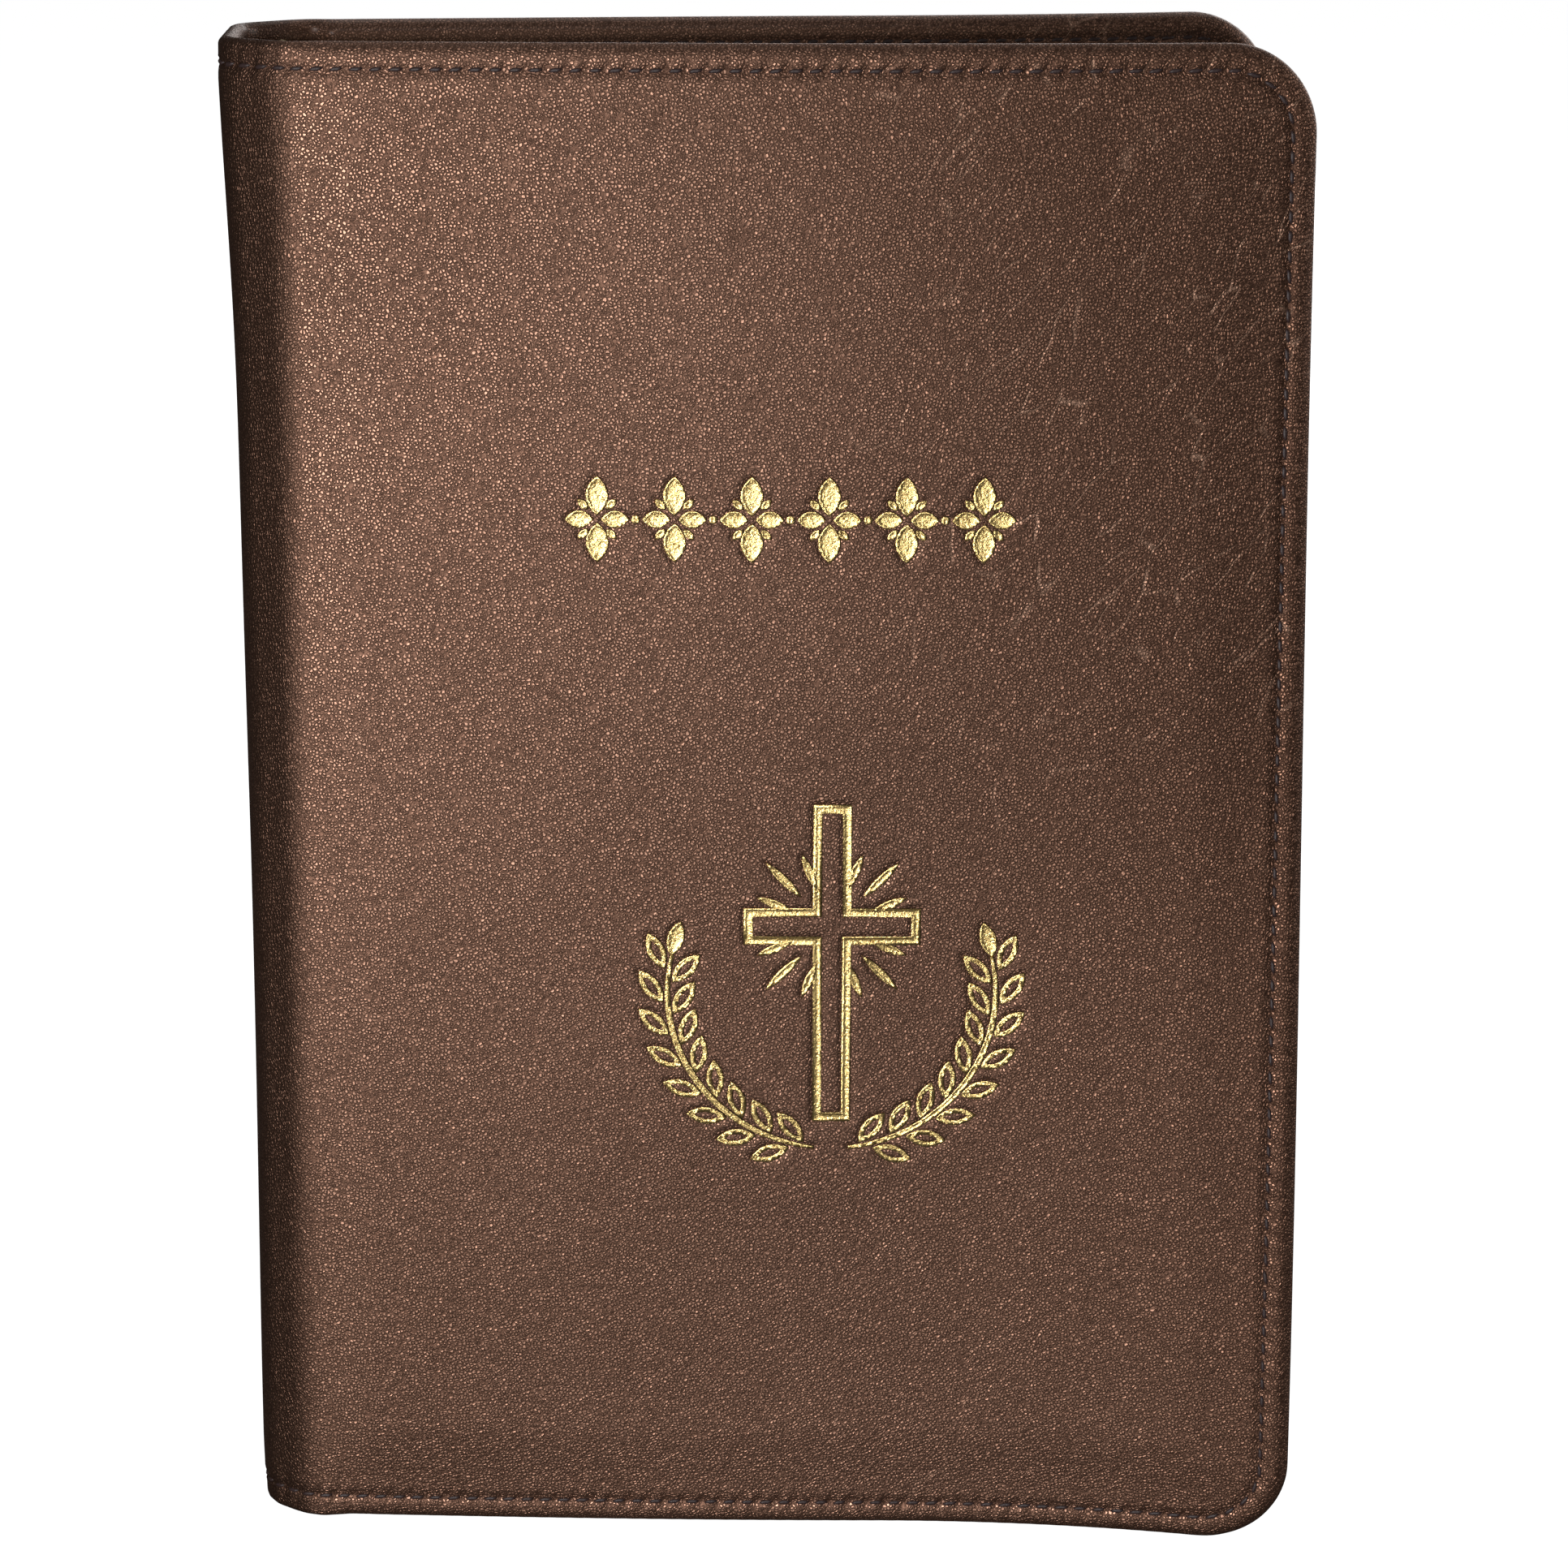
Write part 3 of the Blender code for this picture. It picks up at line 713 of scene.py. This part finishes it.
def foil_shape(form, shape):
    low = shape[0].min(axis=0)
    high = shape[0].max(axis=0)
    spacing = 0.34 * MM
    xs = np.arange(low[0], high[0], spacing)
    zs = np.arange(low[1], high[1], spacing)
    inner = np.stack(np.meshgrid(xs, zs, indexing="ij"), axis=-1).reshape(-1, 2)
    inner = inner[signed_distance(inner, shape) < -0.14 * MM]
    points = [Vector(p) for loop in shape for p in loop] + [Vector(p) for p in inner]
    edges = []
    start = 0
    for loop in shape:
        edges += [(start + i, start + (i + 1) % len(loop)) for i in range(len(loop))]
        start += len(loop)
    scale = 1000.0
    found = delaunay_2d_cdt([p * scale for p in points], edges, [], 0, 1e-6)
    flat = np.array([list(p) for p in found[0]]) / scale
    triangles = np.array(found[2])
    centres = flat[triangles].mean(axis=1)
    triangles = triangles[signed_distance(centres, shape) < 0]
    sunk = 0.06 * MM + 0.18 * MM * smooth(0.0, 0.38 * MM, -signed_distance(flat, shape))
    top = form.add(foil_places(flat, sunk))
    bottom = form.add(foil_places(flat, sunk + 0.05 * MM))
    sides = {}
    for a, b, c in triangles.tolist():
        form.face(top[a], top[b], top[c])
        form.face(bottom[c], bottom[b], bottom[a])
        for edge in ((a, b), (b, c), (c, a)):
            sides[edge] = True
    for a, b in sides:
        if (b, a) not in sides:
            form.face(top[b], top[a], bottom[a], bottom[b])


def foil_places(flat, sunk):
    s, z = S_HINGE + flat[:, 0], flat[:, 1]
    return surface(-1, s, z, sunk - relief(-1, s, z, []))


# ---- pages


def leaf_outline(low_x, high_x, bend, spacing):
    """Stations in x with the lowest and highest z of a leaf whose free corners are rounded."""
    corner = 6 * MM
    turn = np.radians(np.linspace(0, 90, 9))
    plain = np.arange(max(bend, low_x) + 4 * MM, high_x - corner - 2 * MM, spacing)
    near = np.arange(max(bend, low_x), max(bend, low_x) + 4 * MM, 0.4 * MM)
    lead = np.arange(low_x, max(bend, low_x) - 0.2 * MM, 1.0 * MM)
    x = np.concatenate([lead, near, plain, high_x - corner + corner * np.sin(turn)])
    rise = np.concatenate([np.zeros(len(x) - len(turn)), corner * (1 - np.cos(turn))])
    return x, LEAF_LOW.z + rise, LEAF_HIGH.z - rise


def leaves(name, low_y, high_y, low_x, high_x, bend, insets, material):
    """A bundle of leaves: a slab whose three cut edges show each leaf. Insets step the edges."""
    form = Form()
    x, low_z, high_z = leaf_outline(low_x, high_x, bend, 12 * MM)
    loops = []
    for y, inset in zip(np.linspace(low_y, high_y, len(insets)), insets):
        shorter = np.minimum(x, high_x - inset)
        across = np.full(len(x), y)
        tail = np.stack([HINGE_X + shorter, across, low_z + inset], axis=1)
        head = np.stack([HINGE_X + shorter, across, high_z - inset], axis=1)
        loops.append(form.add(np.concatenate([tail, head[::-1]])))
    form.strips(loops, closed=True)
    for loop in (loops[0], loops[-1]):
        half = len(loop) // 2
        for i in range(half - 1):
            form.flat.append(len(form.faces))
            form.face(loop[i], loop[i + 1], loop[-2 - i], loop[-1 - i])
    return form.finish(name, material)


def leaf_insets(random, count):
    """Every other station is a leaf's own edge and the ones between are the gaps."""
    insets = []
    for number in range(2 * count + 1):
        gap = number % 2 == 0
        insets.append((0.16 if gap else random.uniform(0.0, 0.07)) * MM)
    insets[0] = insets[-1] = 0.22 * MM
    return insets


def folded_backs(name, material):
    """The rounded folds of all the sections, side by side, with the sewing dips in them."""
    form = Form()
    low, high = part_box("sewn_folds")
    heights = np.linspace(low.z + 0.3 * MM, high.z - 0.3 * MM, 61)
    pitch = 2 * BLOCK_HALF / SECTION_COUNT
    share = np.linspace(0.04, 0.96, 6)
    y = np.concatenate([low.y + pitch * (n + share) for n in range(SECTION_COUNT)])
    bulge = np.tile(np.sin(math.pi * share), SECTION_COUNT)
    rows = []
    for number, z in enumerate(heights):
        dip = 0.25 if number % 12 == 6 else 0.0
        x = low.x + 0.45 * MM - (0.42 - dip) * MM * bulge
        rows.append(np.stack([x, y, np.full(len(y), z)], axis=1))
    back = form.add(np.array(rows))
    form.strips(back)
    front_x = high.x - 0.05 * MM
    front = form.add([[front_x, y[0], heights[0]], [front_x, y[-1], heights[0]],
                      [front_x, y[-1], heights[-1]], [front_x, y[0], heights[-1]]])
    form.cap(front)
    form.cap([*back[0], front[1], front[0]])
    form.cap([*back[-1], front[2], front[3]])
    form.cap([*back[:, 0], front[3], front[0]])
    form.cap([*back[:, -1], front[2], front[1]])
    return form.finish(name, material)


def headband(name, node, material):
    """Silk wound over a cord: a bar along the folds with a rib for every turn."""
    form = Form()
    low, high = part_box(node)
    middle_x, middle_z = (low.x + high.x) / 2, (low.z + high.z) / 2
    radius = (high.x - low.x) / 2
    turns = 36
    y = np.linspace(low.y, high.y, turns * 4 + 1)
    rings = []
    for number, place in enumerate(y):
        rib = 1 - 0.11 * (number % 4 == 0)
        end = min(1.0, 0.5 + min(number, len(y) - 1 - number) * 0.25)
        angle = np.linspace(0, 2 * math.pi, 12, endpoint=False)
        size = radius * rib * end
        rings.append(form.add(np.stack([middle_x + size * np.cos(angle), np.full(12, place),
                                        middle_z + size * np.sin(angle)], axis=1)))
    form.strips(rings, closed=True)
    form.cap(rings[0])
    form.cap(rings[-1])
    return form.finish(name, material)


# ---- materials


class Nodes:
    """A short way to write a material's nodes."""

    def __init__(self, name):
        self.material = bpy.data.materials.new(name)
        self.material.use_nodes = True
        self.tree = self.material.node_tree
        self.tree.nodes.clear()
        self.shader = self.new("BsdfPrincipled")
        self.new("OutputMaterial", {"Surface": self.shader.outputs["BSDF"]})

    def new(self, kind, inputs=None, **settings):
        """A shader node with its own settings, and its inputs by name or number."""
        node = self.tree.nodes.new("ShaderNode" + kind)
        for name, value in settings.items():
            setattr(node, name, value)
        for socket, value in (inputs or {}).items():
            self.put(node.inputs[socket], value)
        return node

    def put(self, socket, value):
        if isinstance(value, bpy.types.NodeSocket):
            self.tree.links.new(value, socket)
        else:
            socket.default_value = value

    def set(self, **values):
        for name, value in values.items():
            self.put(self.shader.inputs[name.replace("_", " ")], value)

    def rest(self):
        """Where a point is at rest, in metres, which doesn't change when a piece bends."""
        return self.new("Attribute", attribute_name="rest").outputs["Vector"]

    def here(self):
        """The same for a CAD node, whose object stands at the origin."""
        return self.new("TexCoord").outputs["Object"]

    def mapped(self, vector, scale=(1, 1, 1), turn=(0, 0, 0)):
        radians = [math.radians(angle) for angle in turn]
        inputs = {"Vector": vector, "Scale": scale, "Rotation": radians}
        return self.new("Mapping", inputs).outputs["Vector"]

    def noise(self, vector, scale, detail=2.0, rough=0.5, output="Fac"):
        inputs = {"Vector": vector, "Scale": scale, "Detail": detail, "Roughness": rough}
        return self.new("TexNoise", inputs).outputs[output]

    def strayed(self, vector, scale, reach):
        """A vector moved about by a noise of its own in each direction."""
        noise = self.noise(vector, scale, output="Color")
        centred = self.new("VectorMath", {0: noise, 1: (0.5, 0.5, 0.5)}, operation="SUBTRACT")
        inputs = {0: centred.outputs[0], 1: reach, 2: vector}
        return self.new("VectorMath", inputs, operation="MULTIPLY_ADD").outputs[0]

    def cell_edge(self, vector, scale):
        """Distance to the nearest border between Voronoi cells."""
        inputs = {"Vector": vector, "Scale": scale}
        return self.new("TexVoronoi", inputs, feature="DISTANCE_TO_EDGE").outputs["Distance"]

    def math(self, operation, a, b=0.0):
        return self.new("Math", {0: a, 1: b}, operation=operation).outputs[0]

    def total(self, *parts):
        """The sum of pairs of a value and its weight."""
        products = [self.math("MULTIPLY", value, weight) for value, weight in parts]
        result = products[0]
        for product in products[1:]:
            result = self.math("ADD", result, product)
        return result

    def between(self, value, low, high, to_low=0.0, to_high=1.0):
        inputs = {"Value": value, "From Min": low, "From Max": high,
                  "To Min": to_low, "To Max": to_high}
        return self.new("MapRange", inputs, interpolation_type="SMOOTHSTEP").outputs["Result"]

    def mix(self, share, *colours):
        """One colour where share is 0 and the other where it is 1."""
        inputs = {"Factor": share}
        for socket, colour in zip((6, 7), colours):
            inputs[socket] = (*colour, 1.0) if isinstance(colour, tuple) else colour
        return self.new("Mix", inputs, data_type="RGBA").outputs[2]

    def split(self, vector):
        return self.new("SeparateXYZ", {0: vector}).outputs

    def bump(self, height, distance, strength=1.0):
        inputs = {"Height": height, "Distance": distance, "Strength": strength}
        return self.new("Bump", inputs).outputs["Normal"]


def leather(name, inside=False):
    """Metallic-dyed leather: fine pebbles, dark furrows, cloudy dye and thin diagonal creases,
    with painted shade that darkens it towards the fore-edge and head and over the spine.
    """
    n = Nodes(name)
    rest = n.rest()
    x, _, z = n.split(rest)
    grain = n.noise(rest, 3300.0, 2.0, 0.6)
    medium = n.noise(rest, 700.0, 2.0, 0.5)
    cloud = n.noise(rest, 14.0, 3.0, 0.5)
    patch = n.noise(rest, 60.0, 3.0, 0.5)
    pebble = n.between(n.cell_edge(rest, 2300.0), 0.0, 0.30)
    strayed = n.strayed(rest, 170.0, (0.0026, 0.0, 0.0026))
    slanted = n.mapped(n.mapped(strayed, turn=(0, -38, 0)), (270.0, 60.0, 70.0))
    crease = n.between(n.cell_edge(slanted, 1.0), 0.006, 0.035, 1.0, 0.0)
    broken = n.between(n.noise(rest, 210.0, 2.0), 0.45, 0.58)
    crease = n.math("MULTIPLY", crease, broken)
    high = n.between(z, 0.07, 0.15)
    right = n.between(x, -0.01, 0.045)
    where = n.math("MULTIPLY", n.math("MULTIPLY", high, right), n.between(patch, 0.36, 0.56))
    where = n.math("MAXIMUM", where, n.math("MULTIPLY", n.between(patch, 0.52, 0.66), 0.22))
    crease = n.math("MULTIPLY", crease, where)
    speckle = n.between(n.total((pebble, 0.7), (grain, 0.8)), 0.35, 1.15)
    colour = n.mix(speckle, (0.08, 0.039, 0.025), (0.46, 0.262, 0.183))
    warm = n.mix(n.between(cloud, 0.3, 0.7), (0.235, 0.127, 0.086), (0.32, 0.175, 0.120))
    colour = n.mix(0.42, colour, warm)
    # Painted shade: the colour is darkened towards the fore-edge and a little towards the head, as
    # if less light fell there.
    painted_shade_to_right = n.between(n.total((x, 1.0), (z, 0.25)), 0.015, 0.10, 0.0, 0.62)
    colour = n.mix(painted_shade_to_right, colour, n.mix(speckle, (0.045, 0.020, 0.012), (0.20, 0.098, 0.060)))
    # Painted shade: the spine and the round of its back are coloured nearly black, as if in
    # shadow.
    back = n.between(x, HINGE_X - 3.5 * MM, HINGE_X + 1.5 * MM, 0.66, 0.0)
    colour = n.mix(back, colour, (0.045, 0.022, 0.014))
    colour = n.mix(n.math("MULTIPLY", crease, 0.42), colour, (0.55, 0.34, 0.24))
    height = n.total((pebble, 1.0), (grain, 0.5), (medium, 0.8), (crease, -0.8))
    rough = n.between(speckle, 0.0, 1.0, 0.54, 0.42)
    n.set(Base_Color=colour, Roughness=rough, Metallic=0.93,
          Normal=n.bump(height, 0.000065 if not inside else 0.00005, 1.0))
    n.set(Specular_IOR_Level=0.5)
    if inside:
        n.set(Coat_Weight=0.35, Coat_Roughness=0.28)
    return n.material


def gold():
    """Foil over grain: bright where it is smooth, broken by the dark pits it couldn't reach."""
    n = Nodes("gold_foil")
    rest = n.rest()
    grain = n.noise(rest, 2700.0, 2.0, 0.6)
    fine = n.noise(rest, 7500.0, 2.0, 0.6)
    worn = n.between(n.total((grain, 1.0), (fine, 0.5)), 0.56, 0.68)
    colour = n.mix(worn, (0.22, 0.12, 0.03), (1.0, 0.72, 0.29))
    height = n.total((grain, 1.0), (fine, 0.35))
    n.set(Base_Color=colour, Metallic=1.0, Roughness=n.between(worn, 0.0, 1.0, 0.5, 0.33),
          Normal=n.bump(height, 0.00012, 0.8))
    return n.material


def thread():
    n = Nodes("waxed_thread")
    rest = n.rest()
    fibre = n.noise(rest, 9000.0, 2.0)
    n.set(Base_Color=n.mix(fibre, (0.012, 0.006, 0.006), (0.060, 0.032, 0.030)), Roughness=0.5,
          Normal=n.bump(fibre, 0.00004, 0.7))
    return n.material


def page_paper():
    """Ivory leaves: on the cut edges each one shows as a fine line."""
    n = Nodes("page_paper")
    rest = n.rest()
    lines = n.noise(n.mapped(rest, (25.0, 9000.0, 25.0)), 1.0, 2.0, 0.6)
    stain = n.noise(rest, 30.0, 3.0)
    fibre = n.noise(rest, 2500.0, 3.0)
    colour = n.mix(n.between(lines, 0.35, 0.62), (0.60, 0.54, 0.42), (0.86, 0.83, 0.74))
    colour = n.mix(n.between(stain, 0.4, 0.8, 0.0, 0.3), colour, (0.80, 0.74, 0.60))
    n.set(Base_Color=colour, Roughness=n.between(fibre, 0.3, 0.7, 0.72, 0.9),
          Normal=n.bump(n.total((lines, 1.0), (fibre, 0.3)), 0.00005, 0.6))
    return n.material


def fibrous(name, dark, light, scale, rough, cad=False):
    """Paper or card with short fibres and a cloudy tone."""
    n = Nodes(name)
    place = n.here() if cad else n.rest()
    fibre = n.noise(n.mapped(place, (scale, scale, scale * 0.35), (0, 25, 0)), 1.0, 4.0, 0.65)
    cloud = n.noise(place, 60.0, 3.0)
    tone = n.total((fibre, 0.65), (cloud, 0.35))
    n.set(Base_Color=n.mix(n.between(tone, 0.3, 0.7), dark, light),
          Roughness=n.between(fibre, 0.3, 0.7, rough - 0.1, rough),
          Normal=n.bump(fibre, 0.00006, 0.5))
    return n.material


def woven(name, dark, light, pitch):
    """Open plain weave on a CAD node: threads in two directions with shade between them."""
    n = Nodes(name)
    _, y, z = n.split(n.here())
    turn = 2 * math.pi / pitch
    warp = n.math("SINE", n.math("MULTIPLY", y, turn))
    weft = n.math("SINE", n.math("MULTIPLY", z, turn))
    threads = n.math("MAXIMUM", n.math("ABSOLUTE", warp), n.math("ABSOLUTE", weft))
    n.set(Base_Color=n.mix(n.between(threads, 0.3, 0.9), dark, light), Roughness=0.9,
          Normal=n.bump(threads, 0.0001, 0.8))
    return n.material


def silk():
    """Two colours of silk, wound by turns."""
    n = Nodes("headband_silk")
    rest = n.rest()
    _, y, _ = n.split(rest)
    turns = n.between(n.math("SINE", n.math("MULTIPLY", y, 2 * math.pi / (2.7 * MM))), -0.15, 0.15)
    sheen = n.noise(rest, 5000.0, 2.0)
    colour = n.mix(turns, (0.30, 0.10, 0.03), (0.75, 0.55, 0.25))
    n.set(Base_Color=colour, Roughness=n.between(sheen, 0.3, 0.7, 0.3, 0.5),
          Normal=n.bump(sheen, 0.00005, 0.5))
    n.set(Sheen_Weight=0.4)
    return n.material


# ---- stage


def floor_material():
    """A white studio floor: pale to the eye, and dull in what the leather reflects."""
    n = Nodes("pale_floor")
    soft = n.noise(n.here(), 3.0, 2.0)
    seen = n.new("LightPath").outputs["Is Camera Ray"]
    pale = n.mix(soft, (0.55, 0.55, 0.55), (0.54, 0.54, 0.535))
    n.set(Base_Color=n.mix(seen, (0.10, 0.10, 0.10), pale), Roughness=0.8)
    n.set(Specular_IOR_Level=0.0)
    n.set(Emission_Color=(1.0, 1.0, 1.0, 1.0), Emission_Strength=n.math("MULTIPLY", seen, 0.97))
    return n.material


def lamp(name, place, target, size, power):
    data = bpy.data.lights.new(name, "AREA")
    data.shape = "RECTANGLE"
    data.size, data.size_y = size
    data.energy = power
    made = bpy.data.objects.new(name, data)
    made.location = place
    made.rotation_mode = "QUATERNION"
    made.rotation_quaternion = (Vector(target) - Vector(place)).to_track_quat("-Z", "Y")
    bpy.context.scene.collection.objects.link(made)


def around(azimuth, elevation, distance, height=0.1):
    a, e = math.radians(azimuth), math.radians(elevation)
    return (distance * math.sin(a) * math.cos(e), -distance * math.cos(a) * math.cos(e),
            height + distance * math.sin(e))


def build_stage():
    form = Form()
    far = 6.0
    floor = form.add([[[x, y, 0.0] for x in (-far, far)] for y in (-far, far)])
    form.strips(floor)
    made = form.finish("floor", floor_material())
    made.location.z = -0.02 * MM
    world = bpy.data.worlds.new("studio")
    bpy.context.scene.world = world
    world.use_nodes = True
    tree = world.node_tree
    tree.nodes.clear()
    mix = tree.nodes.new("ShaderNodeMixShader")
    for socket, colour, strength in ((1, (1.0, 0.99, 0.97, 1.0), WORLD_LIGHT),
                                     (2, (1.0, 1.0, 1.0, 1.0), 1.0)):
        sky = tree.nodes.new("ShaderNodeBackground")
        sky.inputs["Color"].default_value = colour
        sky.inputs["Strength"].default_value = strength
        tree.links.new(sky.outputs[0], mix.inputs[socket])
    path = tree.nodes.new("ShaderNodeLightPath")
    tree.links.new(path.outputs["Is Camera Ray"], mix.inputs["Fac"])
    out = tree.nodes.new("ShaderNodeOutputWorld")
    tree.links.new(mix.outputs[0], out.inputs["Surface"])
    middle = (0.0, 0.0, 0.1)
    lamp("key", around(-26, 3, 1.1), middle, (0.20, 0.40), 7.4)
    lamp("low", around(-20, 3, 0.62, 0.03), (0.0, 0.0, 0.05), (0.30, 0.08), 0.80)
    lamp("front", around(-6, 40, 1.4), middle, (0.5, 0.5), 0.8)
    lamp("top", (0.10, 0.45, 1.0), middle, (0.9, 0.5), 1.2)
    lamp("side", around(98, 14, 1.4), middle, (0.9, 0.9), 5.0)
    lamp("back", around(158, 10, 1.4), middle, (1.3, 1.0), 9.0)


def build_camera():
    azimuth, elevation, distance, roll = -2.03, 15.06, 0.589, 0.11
    a, e = math.radians(azimuth), math.radians(elevation)
    back = Vector((math.sin(a) * math.cos(e), -math.cos(a) * math.cos(e), math.sin(e)))
    data = bpy.data.cameras.new("camera")
    data.sensor_width = 36.0
    data.lens = 100.2
    data.shift_x = 0.0124
    data.shift_y = -0.0041
    data.clip_start, data.clip_end = 0.01, 50.0
    camera = bpy.data.objects.new("camera", data)
    bpy.context.scene.collection.objects.link(camera)
    turned_to = (-back).to_track_quat("-Z", "Y").to_matrix().to_4x4()
    place = Vector((0.0, 0.0, HEIGHT / 2)) + back * distance
    rolled = Matrix.Rotation(math.radians(roll), 4, "Z")
    camera.matrix_world = Matrix.Translation(place) @ turned_to @ rolled
    bpy.context.scene.camera = camera
    bpy.context.scene.view_settings.view_transform = "Standard"


# ---- the book


def build_covers():
    outer, inner = leather("bronze_leather"), leather("turned_leather", inside=True)
    stitch = thread()
    lining = fibrous("dark_endpaper", (0.055, 0.028, 0.018), (0.125, 0.070, 0.048), 1400.0, 0.85)
    plain, fine = 0.62 * MM, 0.42 * MM
    shapes = title_shapes() + emblem_shapes()
    bend = [0.0, 12 * MM, S_HINGE + 4 * MM]
    across = {"front": (bend + [S_HINGE + 33 * MM, S_HINGE + 96 * MM, S_END - CORNER],
                        [1.1 * MM, 0.45 * MM, plain, fine, plain]),
              "back": (bend + [S_END - CORNER], [1.1 * MM, 0.45 * MM, plain])}
    up = {"front": ([CORNER, 49 * MM, 106 * MM, 132 * MM, 148 * MM, HEIGHT - CORNER],
                    [plain, fine, plain, fine, plain]),
          "back": ([CORNER, HEIGHT - CORNER], [plain])}
    for word, side in SIDES.items():
        columns, rows = stations(*across[word]), stations(*up[word])
        made = padded_cover(word, columns, rows, shapes, word == "front", outer, inner)
        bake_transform(made)
        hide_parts(f"{word}_cover_leather", f"{word}_foam", f"{word}_board",
                    "spine_leather")
        sewn = stitching(word, stitch)
        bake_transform(sewn)
        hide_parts(f"{word}_stitching", "spine_stitching_head", "spine_stitching_tail")
        paper = Form()
        inset, low_s = 5 * MM, S_HINGE + 3.8 * MM
        plain_sheet(paper, side, low_s, inset, COVER_THICKNESS - 0.25 * MM, 0.4 * MM,
                    np.linspace(low_s, S_END - CORNER, 45),
                    np.linspace(CORNER, HEIGHT - CORNER, 60))
        pasted = paper.finish(f"{word}_pastedown", lining)
        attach(pasted, f"{word}_cover")
        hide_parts(f"{word}_lining")
        low_y, high_y = (side * place for place in ENDPAPER_SIDES)
        loose = leaves(f"{word}_loose_endpaper", low_y, high_y, ENDPAPER_LOW, LEAF_END,
                       ENDPAPER_BEND, [0.0, 0.0], lining)
        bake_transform(loose)
        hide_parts(f"{word}_flyleaf")
    foils = gold()
    for name, node, found in (("title_ornaments", "title_foil", title_shapes()),
                              ("cross_emblem", "emblem_foil", emblem_shapes())):
        made = foil(name, found, foils)
        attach(made, "front_cover")
        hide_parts(node)


def spine_card(material):
    """The card inside the spine, which follows the leather's inner face."""
    form = Form()
    half, heights = 13 * MM, np.linspace(7 * MM, HEIGHT - 7 * MM, 25)
    across = np.linspace(-half, half, 27)
    s, z = np.meshgrid(across, heights, indexing="ij")
    faces = []
    for depth in (SPINE_SKIN + 0.05 * MM, SPINE_SKIN + 0.6 * MM):
        front, back = surface(-1, np.abs(s), z, depth), surface(1, np.abs(s), z, depth)
        numbers = form.add(np.where((s < 0)[..., None], front, back))
        form.strips(numbers)
        faces.append(np.concatenate([numbers[0], numbers[1:, -1], numbers[-1, -2::-1],
                                     numbers[-2:0:-1, 0]]))
    form.strip(faces[0], faces[1], closed=True)
    return form.finish("spine_card", material)


def build_pages():
    card = spine_card(fibrous("grey_card", (0.30, 0.28, 0.24), (0.52, 0.49, 0.43), 900.0, 0.95))
    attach(card, "spine")
    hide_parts("spine_inlay")
    paper = page_paper()
    random = np.random.default_rng(5)
    for number in range(1, SECTION_COUNT + 1):
        node = f"section_{number:02d}"
        joint = joints[f"{node}_hinge"]
        low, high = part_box(node)
        hinge = joint["pos_m"][0] - HINGE_X
        made = leaves(f"leaves_{number:02d}", low.y + 0.02 * MM, high.y - 0.02 * MM, -1.6 * MM,
                      LEAF_END, hinge - 1.6 * MM, leaf_insets(random, LEAVES_SHOWN), paper)
        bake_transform(made)
        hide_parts(node)
    folds = folded_backs("folded_backs", paper)
    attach(folds, "spine")
    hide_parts("sewn_folds")
    thread_silk = silk()
    for end in ("head", "tail"):
        made = headband(f"wound_{end}band", f"headband_{end}", thread_silk)
        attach(made, "spine")
        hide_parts(f"headband_{end}")


def finish_cad_nodes():
    """CAD nodes that stay get a better material."""
    kept = {"spine_lining_paper": fibrous("kraft_paper", (0.42, 0.32, 0.22),
                                          (0.62, 0.52, 0.39), 1200.0, 0.9, cad=True),
            "spine_gauze": woven("cotton_gauze", (0.40, 0.38, 0.33), (0.80, 0.77, 0.69),
                                 1.6 * MM)}
    for name, material in kept.items():
        node = frame["nodes"][name]
        node.data.materials.clear()
        node.data.materials.append(material)


build_covers()
build_pages()
finish_cad_nodes()
build_stage()
build_camera()
